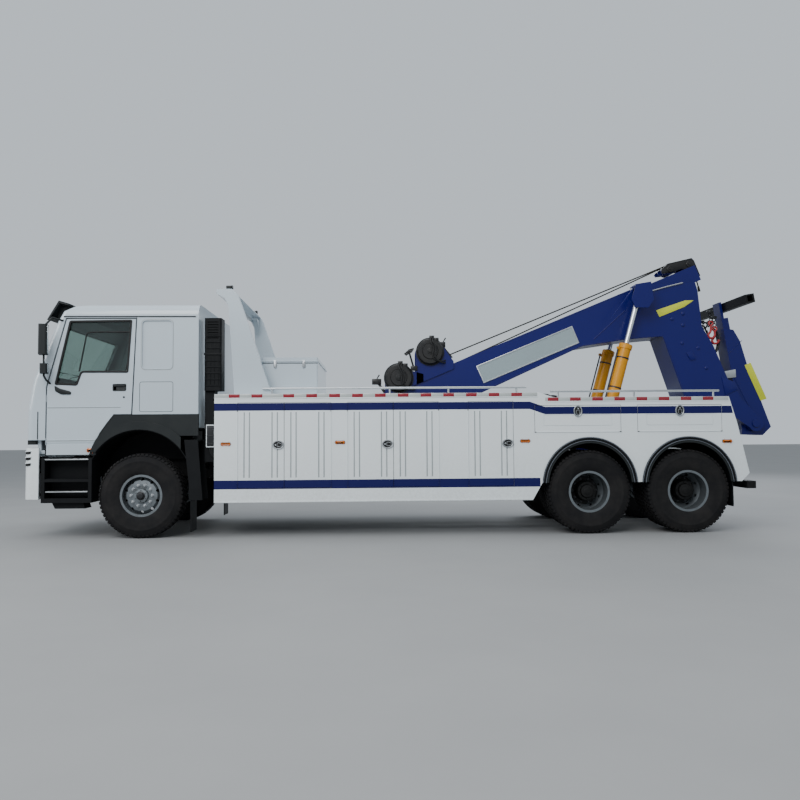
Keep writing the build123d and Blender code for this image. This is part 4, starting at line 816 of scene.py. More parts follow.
# %% Latches in place
bright, black = latch_parts()
upright = Matrix.Rotation(math.radians(-90), 4, "Y")
latch_places = [(f"locker_leaf_{name}", x0 + 76, 1225, Matrix()) for name, x1, x0 in LEAVES if name[-1] != "b"]
latch_places += [(f"locker_lid_{name}", (x0 + x1) / 2, 1649, upright) for name, x1, x0 in LIDS]
for body, x, z, turn in latch_places:
    for side, sign in SIDES.items():
        place = Matrix.Diagonal((1, sign, 1, 1)) @ Matrix.Translation(Vector((x, BODY_Y, z)) * MM) @ turn
        settle(duplicate(bright, place), f"latch_bezel_{body}_{side}", zinc_steel, f"{body}_{side}")
        settle(duplicate(black, place), f"latch_dish_{body}_{side}", seal_black, f"{body}_{side}")
for model in (bright, black):
    bpy.data.objects.remove(model)

# %% Hinge pins
PIN = 5.2
for name, x1, x0 in LEAVES:
    x = x0 - 3 if name.endswith("b") else x1 + 3
    ends = [rod((x, HINGE_Y, z - 7), (x, HINGE_Y, z + 7), PIN, edge=1) for z in (LEAF_Z[0] + 3, UPPER_BAND[0] - 8)]
    pin = joined(*ends)
    settle(right_twin(pin), f"hinge_pins_{name}_right", dark_steel, f"locker_leaf_{name}_right")
    settle(pin, f"hinge_pins_{name}_left", dark_steel, f"locker_leaf_{name}_left")
for name, x1, x0 in LIDS:
    z = LID_Z[0] - 3
    pin = joined(*[rod((x - 12, HINGE_Y, z), (x + 12, HINGE_Y, z), PIN, edge=1) for x in (x0 + 6, x1 - 6)])
    settle(right_twin(pin), f"hinge_pins_{name}_right", dark_steel, f"locker_lid_{name}_right")
    settle(pin, f"hinge_pins_{name}_left", dark_steel, f"locker_lid_{name}_left")

# %% [markdown]
# ## Pressed lines of the doors
# The doors are pressed with narrow flutes that stiffen them. Each one reads as a grey line
# beside a bright edge: a thin grey film lies on its bottom as painted shade, and a fine
# bead stands along its edge.

# %% Flutes
# Grey for the bottoms of flutes, creases and the sleeper panel's edge: painted shade.
painted_shade_grey = coach_paint("dusty_white_paint", "#9aa2a4", "#807c72", dust=0.3, roughness=0.5, coat=0.1)
FLUTE_Z = (790, 1660)
for name, x1, x0 in LEAVES:
    at = [place for inset in (80, 150) for place in (x0 + inset, x1 - inset - 14)]
    shade_films = [side_plate(oblong(x, x + 14, *FLUTE_Z), BODY_Y - 4.2, BODY_Y - 3.4) for x in at]
    edges = [side_plate(oblong(x + 15, x + 21, FLUTE_Z[0], FLUTE_Z[1]), BODY_Y - 0.5, BODY_Y + 2, edge=1) for x in at]
    film, edge = joined(*shade_films), joined(*edges)
    for piece, label, finish in ((film, "flute_film", painted_shade_grey), (edge, "flute_edge", coach_white)):
        settle(right_twin(piece), f"{label}_{name}_right", finish, f"locker_leaf_{name}_right")
        settle(piece, f"{label}_{name}_left", finish, f"locker_leaf_{name}_left")

# %% [markdown]
# ## Rubber in the gaps
# A door's gap looks black because a rubber seal lies at its bottom. A flat ring of rubber
# is laid round each door, a few millimetres under the skin.

# %% Gap seals
seals = []
for body, x0, x1, z0, z1 in stretches():
    if body == "chassis":
        continue
    outline_of_gap = oblong(x0 - GAP + 0.3, x1 + GAP - 0.3, z0 - GAP + 0.3, z1 + GAP - 0.3)
    seals.append(side_plate(outline_of_gap, BODY_Y - 34.5, BODY_Y - 7, ring=GAP - 0.9))
settle(both_sides(joined(*seals)), "gap_seals", seal_black, "chassis")

# %% [markdown]
# ## Arch trims, drip moulding and lamps
# The wheel arches are edged with black rubber that has two raised beads; the beads are
# coloured grey as a painted highlight. Under the tape a slim moulding throws the rain
# off. The side markers are amber lenses, domed and ribbed inside, on black rubber bases.

# %% Beads and moulding
# The beads' grey is a painted highlight along their rounded tops.
bead_highlight_grey = moulded("grey_edge_bead", "#6f7680", 3, 0.2, 0.45, "#4a4b4a", 0.3)
ARCH_Z, ARCH_BOTTOM_Z, TRIM_Y = 655, 690, 1265
beads, lips = [], []
for x in REAR_AXLE_X.values():
    lips.append(lathe([(0, 592), (0, 566), (4, 562), (12, 562), (12, 592), (0, 592)], (x, BODY_Y + 0.5, ARCH_Z),
                      (0, 1, 0), steps=96))
    for r in (600, 640):
        turn = [math.radians(3 + 174 * i / 16) for i in range(17)]
        beads.append(hose([(x + r * math.cos(a), TRIM_Y, ARCH_Z + r * math.sin(a)) for a in turn], 3.5, sides=2))
settle(both_sides(joined(*beads)), "arch_beads", bead_highlight_grey, "chassis")
lip = joined(*lips)
bpy.ops.object.mode_set(mode="EDIT")
bpy.ops.mesh.select_all(action="SELECT")
bpy.ops.mesh.bisect(plane_co=(0, 0, ARCH_BOTTOM_Z * MM), plane_no=(0, 0, -1), use_fill=True, clear_outer=True)
bpy.ops.object.mode_set(mode="OBJECT")
settle(both_sides(lip), "arch_lips", grained_black, "chassis")
drips = [side_plate(oblong(-1535, BODY_FRONT_X, 1843, 1851), BODY_Y - 1, BODY_Y + 6, edge=2),
         side_plate(oblong(-4150, -1640, 1776, 1784), BODY_Y - 1, BODY_Y + 6, edge=2),
         side_plate(oblong(-1450, BODY_FRONT_X, 462, 482), BODY_Y - 1, BODY_Y + 5, edge=2)]
settle(both_sides(joined(*drips)), "drip_moulding", coach_white, "chassis")

# %% Side markers
MARKERS = [(2638, 1240), (1120, 1252), (-1364, 1252), (-4109, 1230)]


def domed_lens(x0, x1, y, z0, z1, rise=12):
    """A lens with rounded corners whose face is inset and lifted to a low dome."""
    lens = side_plate(oblong(x0, x1, z0, z1), y, y + rise * 0.5, corner=8)
    only(lens)
    bpy.ops.object.mode_set(mode="EDIT")
    pick(lens, lambda c: c.y > y + rise * 0.5 - 0.1)
    for step in (0.5, 0.3, 0.2):
        bpy.ops.mesh.inset(thickness=5 * MM, depth=rise * step * 0.5 * MM)
    bpy.ops.object.mode_set(mode="OBJECT")
    return lens


lenses = [domed_lens(x - 58, x + 58, BODY_Y + 5, z - 17, z + 17) for x, z in MARKERS]
bases = [side_plate(oblong(x - 66, x + 66, z - 22, z + 22), BODY_Y, BODY_Y + 6, corner=10, edge=1.5)
         for x, z in MARKERS]
markers = settle(both_sides(joined(*lenses)), "side_marker_lenses", amber_lens, "chassis")
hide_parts("lamps")
settle(both_sides(joined(*bases)), "side_marker_bases", seal_black, "chassis")

# %% Tail lamps and tower lamps
TAIL_X = -4500
tail_box = block(TAIL_X - 16, TAIL_X, 796, 1184, 596, 684, edge=4)
tail_red = [block(TAIL_X - 24, TAIL_X - 15, y, y + 118, 606, 674, edge=4) for y in (806, 1056)]
tail_amber = block(TAIL_X - 24, TAIL_X - 15, 931, 1049, 606, 674, edge=4)
work_box = [block(2604, 2676, 990, 1080, 3354, 3402, edge=8), block(2590, 2606, 998, 1072, 3362, 3408, edge=5)]
work_glass = block(2594, 2602, 1004, 1066, 3366, 3402, edge=2)
settle(both_sides(joined(tail_box)), "tail_lamp_boxes", grained_black, "chassis")
settle(both_sides(joined(*tail_red)), "tail_lamp_reds", red_lens, "chassis")
settle(both_sides(tail_amber), "tail_lamp_ambers", amber_lens, "chassis")
settle(both_sides(joined(*work_box)), "tower_lamp_boxes", grained_black, "chassis")
settle(both_sides(work_glass), "tower_lamp_glass", clear_lens, "chassis")

# %% [markdown]
# ## Door: window seal, handle and creases
# The side window sits in a black rubber gasket that follows its stepped outline. The
# outline is walked once, its corners are rounded and an inset leaves only the rim. The
# sliding pane has its own seal, a smooth tube that turns the corner at the divider.

# %% Measures of the cab
CAB_Y = 1240
WINDOW = [(4701, 2888), (3898, 2898), (3945, 2212), (4548, 2216), (4612, 2042), (4887, 2057)]
GLASS_Y = CAB_Y - 24
DOOR = [(5003, 1110), (4437, 1110), (4300, 1400), (4120, 1644), (3887, 1644), (3833, 2925), (4752, 2925),
        (4768, 2870), (5003, 2005)]


def grown(points, by):
    """An outline in the side view grown by a distance, corner by corner."""
    centre = sum((Vector(p) for p in points), Vector((0, 0))) / len(points)
    return [(x + math.copysign(by, x - centre.x), z + math.copysign(by, z - centre.y)) for x, z in points]


def to_door(piece, name, finish):
    """A left-hand piece on the left door and its twin on the right one."""
    settle(right_twin(piece), f"{name}_right", finish, "door_right")
    settle(piece, f"{name}_left", finish, "door_left")


# %% Window seals
gasket = side_plate([(4715, 2902), (3884, 2912), (3931, 2198), (4541, 2202), (4603, 2028), (4904, 2043)], GLASS_Y,
                    CAB_Y + 5, corner=26, ring=27, edge=3)
pane_seal = hose([(4588, 1219, 2222), (4548, 1219, 2440), (4508, 1219, 2650), (4494, 1219, 2738), (4410, 1219, 2747),
                  (4200, 1219, 2747), (3928, 1219, 2747)], 10, sides=2)
to_door(joined(gasket, pane_seal), "window_seal", seal_black)

# %% Handle, lock and creases
cup = side_plate(oblong(3962, 4138, 1954, 2050), CAB_Y - 1, CAB_Y + 3, corner=16)
only(cup)
bpy.ops.object.mode_set(mode="EDIT")
pick(cup, lambda c: c.y > CAB_Y + 2.5)
bpy.ops.mesh.inset(thickness=8 * MM, depth=0)
bpy.ops.mesh.inset(thickness=5 * MM, depth=-3 * MM)
bpy.ops.object.mode_set(mode="OBJECT")
flap = block(3974, 4126, CAB_Y + 1, CAB_Y + 9, 2012, 2040, edge=4)
lock = lathe([(0, 0), (0, 12), (5, 12), (6, 9), (3, 7), (3, 0)], (3988, CAB_Y, 1874), (0, 1, 0), steps=20)
bracket = side_plate([(4901, 2030), (4889, 1957), (4812, 1914), (4687, 1913), (4678, 1940), (4700, 1958), (4823, 1990)],
                     CAB_Y - 1, CAB_Y + 12, corner=12, edge=4)
to_door(joined(cup, flap, lock, bracket), "door_handle", grained_black)
# A black band round the door's edge is painted shade that darkens the gap.
lip = side_plate(DOOR, CAB_Y - 8, CAB_Y + 1.5, ring=4)
to_door(lip, "door_edge_lip", seal_black)
creases = [side_plate([(4030, 1741), (4990, 1741), (4990, 1752), (4030, 1747)], CAB_Y - 1, CAB_Y + 4, edge=1.5),
           side_plate(oblong(4330, 4990, 1302, 1314), CAB_Y - 1, CAB_Y + 4, edge=1.5)]
# The grey strips along the creases are painted shade.
shades = [side_plate([(4030, 1735), (4990, 1731), (4990, 1741), (4030, 1741)], CAB_Y - 1, CAB_Y + 0.8),
          side_plate(oblong(4330, 4990, 1292, 1302), CAB_Y - 1, CAB_Y + 0.8)]
to_door(joined(*shades), "door_crease_shades", painted_shade_grey)
to_door(joined(*creases), "door_creases", shaded_cab_white)

# %% [markdown]
# ## Mirrors
# Truck mirrors are silvered glass in black shells. The glass is a thin plate with rounded
# edges, turned by the same angle as its shell and let into the shell's rear face.

# %% Mirror glass
silvered = bare_metal("silvered_mirror_glass", "#cfd6d8", 0.06, 40, spread=0.04, grime=0.08)
MIRROR_TURN = math.radians(18)
MIRRORS = [(4988, 2626, 110, 160, 366), (4972, 2244, 96, 150, 104)]
panes = []
for x, z, deep, wide, high in MIRRORS:
    pane = bake(block(-deep / 2 - 3, -deep / 2 + 2, -wide / 2, wide / 2, -high / 2, high / 2, edge=2.5))
    place = Matrix.Translation(Vector((x, CAB_Y + 160, z)) * MM) @ Matrix.Rotation(MIRROR_TURN, 4, "Z")
    panes.append(duplicate(pane, place))
    bpy.data.objects.remove(pane)
to_door(joined(*panes), "mirror_glass", silvered)

# %% [markdown]
# ## Cab body: gaps, rain rail, hatch and front corner
# Each gap shows as a dark line. Round the door the line is widened by black bands on both
# its edges, painted shade; in the hatch's gap lies rubber. The rain rail over the doors
# and the slot of the air deflector at the front corner are black as well.

# %% Seals and rails of the cab side
# The black band round the door opening is painted shade that darkens the gap.
door_gap_shade_ring = side_plate(grown(DOOR, 11), CAB_Y - 42, CAB_Y + 1.5, ring=4.6)
hatch_line = side_plate(oblong(3339, 3783, 1675, 2077), CAB_Y - 6.5, CAB_Y - 2, corner=28, ring=5)
rain_rail = side_plate([(3041, 2944), (4792, 2948), (4792, 2962), (3041, 2957)], CAB_Y - 1, CAB_Y + 9, edge=2.5)
slot = side_plate(oblong(5107, 5121, 1317, 1687), CAB_Y - 3, CAB_Y + 1.5, corner=6)
settle(both_sides(joined(door_gap_shade_ring, hatch_line, rain_rail, slot)), "cab_seals", seal_black, "cab")
arch = (3780, 0, 740)
liner = lathe([(520, 688), (1236, 688), (1236, 697), (520, 697), (520, 688)], arch, (0, 1, 0), steps=72)
wall = lathe([(514, 0), (514, 692), (520, 692), (520, 0)], arch, (0, 1, 0), steps=72)
liner = joined(liner, wall)
bpy.ops.object.mode_set(mode="EDIT")
bpy.ops.mesh.select_all(action="SELECT")
bpy.ops.mesh.bisect(plane_co=(0, 0, 1030 * MM), plane_no=(0, 0, -1), use_fill=True, clear_outer=True)
bpy.ops.object.mode_set(mode="OBJECT")
settle(both_sides(liner), "cab_arch_liners", step_black, "cab")
# The grey ring round the sleeper panel is painted shade of its recess.
panel_line = side_plate(oblong(3338, 3768, 2234, 2914), CAB_Y - 1, CAB_Y + 1.2, corner=60, ring=7)
settle(both_sides(panel_line), "sleeper_panel_shade", painted_shade_grey, "cab")
panel_rim = side_plate(oblong(3346, 3760, 2242, 2906), CAB_Y - 1, CAB_Y + 3, corner=56, ring=9, edge=1.5)
settle(both_sides(panel_rim), "sleeper_panel_rim", shaded_cab_white, "cab")

# %% [markdown]
# ## Windscreen, wipers and grille
# The windscreen's gasket is a rounded frame laid in the slope of the glass. The wipers are
# arms with a spring box and a blade of rubber. Behind the grille's bars lies black mesh.

# %% Windscreen gasket
SCREEN_SLOPE = (4897 - 5200) / (2895 - 2130)


def screen_x(z):
    """Front face of the cab at a height in the windscreen's slope."""
    return 5200 + SCREEN_SLOPE * (z - 2130)


out_of_screen = Vector((1, 0, -SCREEN_SLOPE)).normalized()
frame_points = [(screen_x(z), y, z) for y, z in ((-1102, 2168), (1102, 2168), (1102, 2872), (-1102, 2872))]
screen_gasket = prism([Vector(p) - out_of_screen * 3 for p in frame_points], out_of_screen * 9, corner=70, ring=34,
                      edge=3)
settle(screen_gasket, "windscreen_gasket", seal_black, "cab")

# %% Wipers
wiper_parts = []
for y, reach in ((880, -420), (180, -420), (-560, -200)):
    foot = Vector((screen_x(2148) + 6, y, 2140))
    elbow = Vector((screen_x(2230) + 22, y + reach * 0.35, 2230))
    middle = Vector((screen_x(2275) + 18, y + reach, 2275))
    wiper_parts.append(lathe([(-6, 0), (-6, 22), (8, 20), (14, 12), (14, 0)], foot, out_of_screen, steps=20))
    wiper_parts.append(rod(foot + out_of_screen * 8, elbow, 8, tip=6, edge=1))
    wiper_parts.append(rod(elbow, middle, 5.5, edge=1))
    blade = Vector((0, 1, 0)) * 290
    wiper_parts.append(rod(middle - blade, middle + blade, 6, sides=6))
settle(joined(*wiper_parts), "wipers", seal_black, "cab")

# %% Grille backing
backing = side_plate([(5276.5, 1385), (5274.5, 1716), (5257, 1832), (5250, 1832), (5266, 1716), (5268, 1385)], -775, 775)
hood_line = side_plate([(5277, 1850), (5259, 1858), (5254, 1858), (5262, 1850)], -1060, 1060)
settle(joined(backing, hood_line), "grille_backing", seal_black, "cab")

# %% [markdown]
# ## Headlamps
# A headlamp is a dark box with two turned reflector bowls behind one clear cover. The
# bowls are lathed from a parabola, so that they catch the light as real ones do.

# %% Headlamps
LAMP_X, LAMP_Z = 5290, 975


def reflector(y):
    """One parabolic bowl that opens forward."""
    outer = [(-(1 - (r / 82) ** 2) * 62, r) for r in range(0, 83, 10)] + [(0, 82)]
    inner = [(s - 3, r) for s, r in reversed(outer)]
    return lathe(outer + [(0, 86), (-6, 86)] + inner, (LAMP_X - 18, y, LAMP_Z), (1, 0, 0), steps=36)


bowls = [reflector(y) for y in (815, 1012)]
settle(both_sides(joined(*bowls)), "headlamp_bowls", silvered, "chassis")
pan = block(LAMP_X - 100, LAMP_X - 84, 724, 1106, 864, 1086, edge=3)
surround = prism([(LAMP_X - 8, y, z) for y, z in ((724, 864), (1106, 864), (1106, 1086), (724, 1086))], (8, 0, 0),
                 corner=34, ring=14, edge=2)
bulbs = [rod((LAMP_X - 84, y, LAMP_Z), (LAMP_X - 44, y, LAMP_Z), 11, tip=6, edge=1) for y in (815, 1012)]
settle(both_sides(joined(pan, surround, *bulbs)), "headlamp_boxes", grained_black, "chassis")
cover = prism([(LAMP_X, y, z) for y, z in ((732, 872), (1098, 872), (1098, 1078), (732, 1078))], (4, 0, 0), corner=30,
              edge=1.5)
settle(both_sides(cover), "headlamp_covers", clear_lens, "chassis")

# %% [markdown]
# ## Steps
# The steps are aluminium boards rolled with raised lentils, so that a wet boot holds.
# One lentil is a flattened ball; rows of it are turned crosswise and joined to the board.

# %% Step boards
STEP_X = (4455, 5005)


def tread_board(x0, x1, y0, y1, z, thick=14):
    """A board whose upper face carries crossed rows of lentils."""
    lentils = []
    model = start(bpy.ops.mesh.primitive_uv_sphere_add, segments=8, ring_count=4, radius=1)
    bake(model)
    for row, y in enumerate(range(int(y0) + 14, int(y1) - 8, 22)):
        for column, x in enumerate(range(int(x0) + 16, int(x1) - 10, 26)):
            turn = Matrix.Rotation(math.radians(45 if (row + column) % 2 else -45), 4, "Z")
            shape = Matrix.Diagonal((11 * MM, 3.5 * MM, 2.5 * MM, 1))
            lentils.append(duplicate(model, Matrix.Translation(Vector((x, y, z)) * MM) @ turn @ shape))
    bpy.data.objects.remove(model)
    return joined(block(x0, x1, y0, y1, z - thick, z, edge=2.5), *lentils)


boards = [tread_board(STEP_X[0], STEP_X[1], 1120, 1238, 632)]
dark_board = tread_board(STEP_X[0], STEP_X[1], 1085, 1236, 797, 7)
settle(both_sides(dark_board), "upper_step_boards", step_black, "chassis")
nosing = side_plate(oblong(4446, 5010, 1044, 1060), CAB_Y - 1, CAB_Y + 6, edge=3)
settle(both_sides(joined(*boards, nosing)), "step_boards", rolled_alloy, "chassis")
side_lens = domed_lens(4368, 4462, CAB_Y - 1, 1150, 1196, rise=14)
settle(both_sides(side_lens), "corner_repeaters", amber_lens, "cab")

# %% [markdown]
# ## Seats
# A truck seat is foam under sewn cloth. The foam crowns between its edges and the sides
# pull in between the corners, and two sewn channels run along it. The form is a
# subdivided block whose points are lifted by a smooth crown and let down at the seams.


# %% Seat pads
def pad(size, crown, seams, name, place):
    """A cushion of a size in mm, centred at the origin, then put in its place."""
    obj = start(bpy.ops.mesh.primitive_cube_add, size=1)
    obj.scale = Vector(size) * MM
    bake(obj)
    only(obj)
    bpy.ops.object.mode_set(mode="EDIT")
    bpy.ops.mesh.select_all(action="SELECT")
    bpy.ops.mesh.subdivide(number_cuts=11)
    bpy.ops.object.mode_set(mode="OBJECT")
    half = Vector(size) * MM / 2
    for vertex in obj.data.vertices:
        u, v, w = (vertex.co[i] / half[i] for i in range(3))
        swell = (1 - u ** 4) * (1 - v ** 4)
        seam = max(math.exp(-((v - at) / 0.06) ** 2) for at in seams) * swell
        vertex.co.z += w * (crown * swell - 9 * seam * (w > 0)) * MM
        vertex.co.x -= u * 7 * MM * (1 - v ** 2) * abs(u) ** 6
        vertex.co.y -= v * 7 * MM * (1 - u ** 2) * abs(v) ** 6
    soften(obj, 14, 2)
    obj = bake(obj)
    smooth = obj.modifiers.new("smooth", "SUBSURF")
    smooth.levels = smooth.render_levels = 1
    obj = bake(obj)
    obj.data.transform(place)
    settle(obj, name, seat_cloth, "cab", smooth=60)


FLOOR_Z = 1505
for side, sign in SIDES.items():
    y = 560 * sign
    pad((492, 524, 168), 16, (-0.36, 0.36), f"seat_cushion_{side}",
        Matrix.Translation(Vector((4190, y, FLOOR_Z + 256)) * MM))
    lean = Matrix.Translation(Vector((3870, y, FLOOR_Z + 632)) * MM) @ Matrix.Rotation(math.radians(84), 4, "Y")
    pad((796, 504, 176), 14, (-0.36, 0.36), f"seat_back_{side}", lean)
pad((590, 2230, 120), 12, (-0.5, 0.0, 0.5), "bunk_mattress", Matrix.Translation(Vector((3351, 0, FLOOR_Z + 300)) * MM))

# %% [markdown]
# ## Winches
# Each drum carries wire rope, wound turn beside turn. From outside one sees the black
# gear case with its ring of screws, the hoses to the motor and a handwheel that frees
# the drum. The wound rope is one wavy profile turned round the drum's axis.

# %% Wound rope
wire_rope = bare_metal("greased_wire_rope", "#34322e", 0.55, 12, spread=0.2, metallic=0.8, grime=0.5)
WINCHES = {"front": (306, 2184, 215), "rear": (-159, 2570, 205)}
CASE_Y = 356
BOOM_SIDE = 270
for name, (x, z, r) in WINCHES.items():
    profile = [(-222, 0.62 * r - 4)]
    for turn in range(26):
        y = -212 + 17 * turn
        profile += [(y - 7, 0.62 * r + 2), (y - 4, 0.62 * r + 7), (y, 0.62 * r + 9), (y + 4, 0.62 * r + 7)]
    profile += [(222, 0.62 * r + 2), (222, 0.62 * r - 4)]
    wound = lathe(profile + [profile[0]], (x, 0, z), (0, 1, 0), steps=40)
    settle(wound, f"wound_rope_{name}", wire_rope, f"winch_drum_{name}")

# %% Gear case screws, hoses and handwheel
fittings = []
pipes = []
for x, z, r in WINCHES.values():
    fittings.append(lathe([(-65, 0), (-65, 0.955 * r), (-20, 0.955 * r), (3, 0.855 * r), (3, 0.57 * r), (20, 0.535 * r),
                           (20, 0)], (x, CASE_Y, z), (0, 1, 0), steps=48))
    fittings.append(lathe([(-64, 0.95 * r), (-64, 1.02 * r), (-50, 1.02 * r), (-50, 0.95 * r), (-64, 0.95 * r)],
                          (x, CASE_Y, z), (0, 1, 0), steps=48))
    screw = rod((x, CASE_Y - 24, z + 0.89 * r), (x, CASE_Y - 14, z + 0.89 * r), 9, sides=6, edge=1)
    fittings.append(ring_of(screw, 12, (x, 0, z)))
    fittings.append(lathe([(0, 0), (0, 46), (10, 46), (14, 40), (14, 26), (24, 22), (26, 0)],
                          (x, CASE_Y + 16, z), (0, 1, 0), steps=28))
    fittings.append(lathe([(-2, 0.6 * r), (5, 0.6 * r), (5, 0.8 * r), (-2, 0.8 * r), (-2, 0.6 * r)],
                          (x, CASE_Y, z), (0, 1, 0), steps=40))
    fittings.append(block(x - 60, x + 12, 300, 350, z + 0.86 * r, z + 1.14 * r, edge=6))
    fittings.append(block(x - 0.62 * r, x - 0.3 * r, 306, 352, z + 0.72 * r, z + 0.98 * r, edge=6))
    for shift in (0, 34):
        pipes.append(hose([(x - 20 - shift, 352, z + 0.98 * r), (x + 0.1 * r - shift, 396, z + 0.8 * r),
                           (x - 0.28 * r - shift, 398, z + 0.25 * r), (x - 0.1 * r - shift, 396, z - 0.4 * r),
                           (x - 0.5 * r - shift, 380, z - 0.75 * r), (x - 0.95 * r, 330, z - 0.7 * r - shift),
                           (x - 1.1 * r, 292, z - 0.62 * r - shift)], 10))
settle(joined(*fittings), "winch_fittings", winch_black, "boom")
settle(joined(*pipes), "winch_hoses", hose_black, "boom")

wheel_centre = Vector((152, 318, 2567))
wheel_axis = Vector((0.55, 0.35, 0.75)).normalized()
grip = lathe([(9 * math.sin(t), 70 + 9 * math.cos(t)) for t in (math.tau * i / 8 for i in range(9))],
             wheel_centre, wheel_axis, steps=36)
spoke_out = wheel_axis.orthogonal().normalized()
spokes = []
for i in range(5):
    end = wheel_centre + Matrix.Rotation(math.tau * i / 5, 3, wheel_axis) @ spoke_out * 70
    spokes.append(rod(wheel_centre, end, 8))
    spokes.append(rod(end - (end - wheel_centre) * 0.1, end + (end - wheel_centre) * 0.22, 13, edge=3))
stem = rod(wheel_centre, (90, 300, 2352), 14)
hub = lathe([(-20, 0), (-20, 22), (14, 24), (20, 12), (20, 0)], wheel_centre, wheel_axis, steps=20)
foot = block(30, 130, 271, 322, 2290, 2360, edge=6)
settle(joined(grip, hub, stem, foot, *spokes), "free_spool_handwheel", winch_black, "boom")
for label, box in (("front", (561, 700, 180, 262, 2092, 2176)), ("rear", (-392, -320, 210, 262, 2640, 2720))):
    x0, x1, y0, y1, z0, z1 = box
    shell = block(*box, edge=8)
    ports = [rod((x0 + (x1 - x0) * t, y1 - 2, (z0 + z1) / 2), (x0 + (x1 - x0) * t, y1 + 16, (z0 + z1) / 2), 11, edge=2)
             for t in (0.25, 0.75)]
    lever = rod(((x0 + x1) / 2, (y0 + y1) / 2, z1 - 4), ((x0 + x1) / 2 - 40, (y0 + y1) / 2, z1 + 62), 7, tip=10, edge=2)
    holder = prism([(x0 + 20, (y0 + y1) / 2, z0 + 10), (x0 + 60, (y0 + y1) / 2, z0 + 10),
                    (x0 - 60, (y0 + y1) / 2, z0 - 170), (x0 - 110, (y0 + y1) / 2, z0 - 150)], (0, 14, 0), edge=2)
    settle(joined(shell, lever, holder, *ports), f"valve_block_{label}", winch_black, "boom")

# %% [markdown]
# ## Ropes and sheave head
# The two ropes leave the drums from below and run taut to the sheaves at the boom's end.
# The head's cheeks are black plates with the sheaves' hubs on them.

# %% Ropes
ROPE_R = 10
for side, (x, z, r) in (("rear", WINCHES["rear"]), ("front", WINCHES["front"])):
    y = 65 if side == "rear" else -65
    first = Vector((x - 0.36 * 0.66 * r, y * 0.6, z - 0.93 * 0.66 * r))
    last = Vector((-3806, y, 3830 + 72))
    along = (last - first) / 24
    points = [first + along * i for i in range(25)]
    rope = hose(points, ROPE_R, order=2)
    settle(rope, f"rope_{side}", wire_rope, None)
    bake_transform(rope)

head_ropes = []
for y, drop in ((65, 3560), (-65, 3600)):
    head_ropes.append(hose([(-3806, y, 3902), (-3960, y, 3948), (-4120, y, 3983), (-4186, y, 3950), (-4200, y, 3880),
                            (-4225, y, 3800), (-4290, y, drop)], ROPE_R))
    head_ropes.append(rod((-4284, y, drop + 20), (-4300, y, drop - 60), 15, tip=20, edge=2))
settle(joined(*head_ropes), "head_ropes", wire_rope, "inner_boom")

# %% Sheave head
HEAD = [(-3700, 3762), (-3684, 3798), (-3790, 3902), (-4160, 3996), (-4197, 3958), (-4286, 3732), (-4242, 3704),
        (-4152, 3793), (-4000, 3833), (-3898, 3793), (-3850, 3782)]
cheek = side_plate(HEAD, 140, 147, corner=8, edge=2)
rims = [lathe([(0, 0), (0, 50), (14, 50), (18, 44), (18, 24), (30, 20), (30, 0)], (x, 146, z), (0, 1, 0), steps=28)
        for x, z in ((-3830, 3830), (-4120, 3905))]
cap = prism([(-3700, -150, 3822), (-3790, -150, 3914), (-4163, -150, 4000), (-4150, -150, 3990), (-3792, -150, 3902),
             (-3712, -150, 3816)], (0, 300, 0), edge=2)
settle(joined(both_sides(joined(cheek, *rims)), cap), "sheave_head_plates", winch_black, "inner_boom")

# %% [markdown]
# ## Plates on the boom
# A long sheet in an aluminium frame covers the boom's side, a yellow arrow plate the
# column and a yellow strip the arm. All of them are left blank. They are raised sheets
# with their own edge, because a painted-on patch would have no thickness at its rim.

# %% Sign plates
SIGN = [(-841, 2356), (-2279, 2949), (-2384, 2694), (-950, 2100)]
sign_sheet = coach_paint("weathered_sign_sheet", "#8d9ca0", "#a09a8a", dust=0.55, roughness=0.55, coat=0.1)
arrow_yellow = coach_paint("reflective_yellow_sheet", "#c9cf2e", "#8f8a4a", dust=0.2, roughness=0.4, coat=0.2)
sheet = side_plate([(-855, 2352), (-2272, 2936), (-2368, 2702), (-958, 2114)], BOOM_SIDE, BOOM_SIDE + 5)
settle(both_sides(sheet), "boom_sign_sheet", sign_sheet, "boom")
frame_bar = side_plate(SIGN, BOOM_SIDE, BOOM_SIDE + 11, ring=17, edge=2)
rivets = []
for i in range(9):
    for a, b in ((SIGN[0], SIGN[1]), (SIGN[3], SIGN[2])):
        inward = 9 if a is SIGN[3] else -9
        x = a[0] + (b[0] - a[0]) * (i + 0.5) / 9
        z = a[1] + (b[1] - a[1]) * (i + 0.5) / 9 + inward
        rivets.append(rod((x, BOOM_SIDE + 10, z), (x, BOOM_SIDE + 14, z), 6, sides=10, tip=4))
settle(both_sides(joined(frame_bar, *rivets)), "boom_sign_frame", rolled_alloy, "boom")
arrow = side_plate([(-3549, 3179), (-3598, 3079), (-3976, 3229), (-4120, 3329), (-3988, 3326)], BOOM_SIDE,
                   BOOM_SIDE + 5, corner=6, edge=1)
settle(both_sides(arrow), "arrow_plate", arrow_yellow, "boom")
strip = side_plate([(-4922, 2361), (-5016, 2401), (-5245, 1853), (-5151, 1823)], 150, 155, corner=8, edge=1)
settle(both_sides(strip), "arm_plate", arrow_yellow, "underlift_arm")

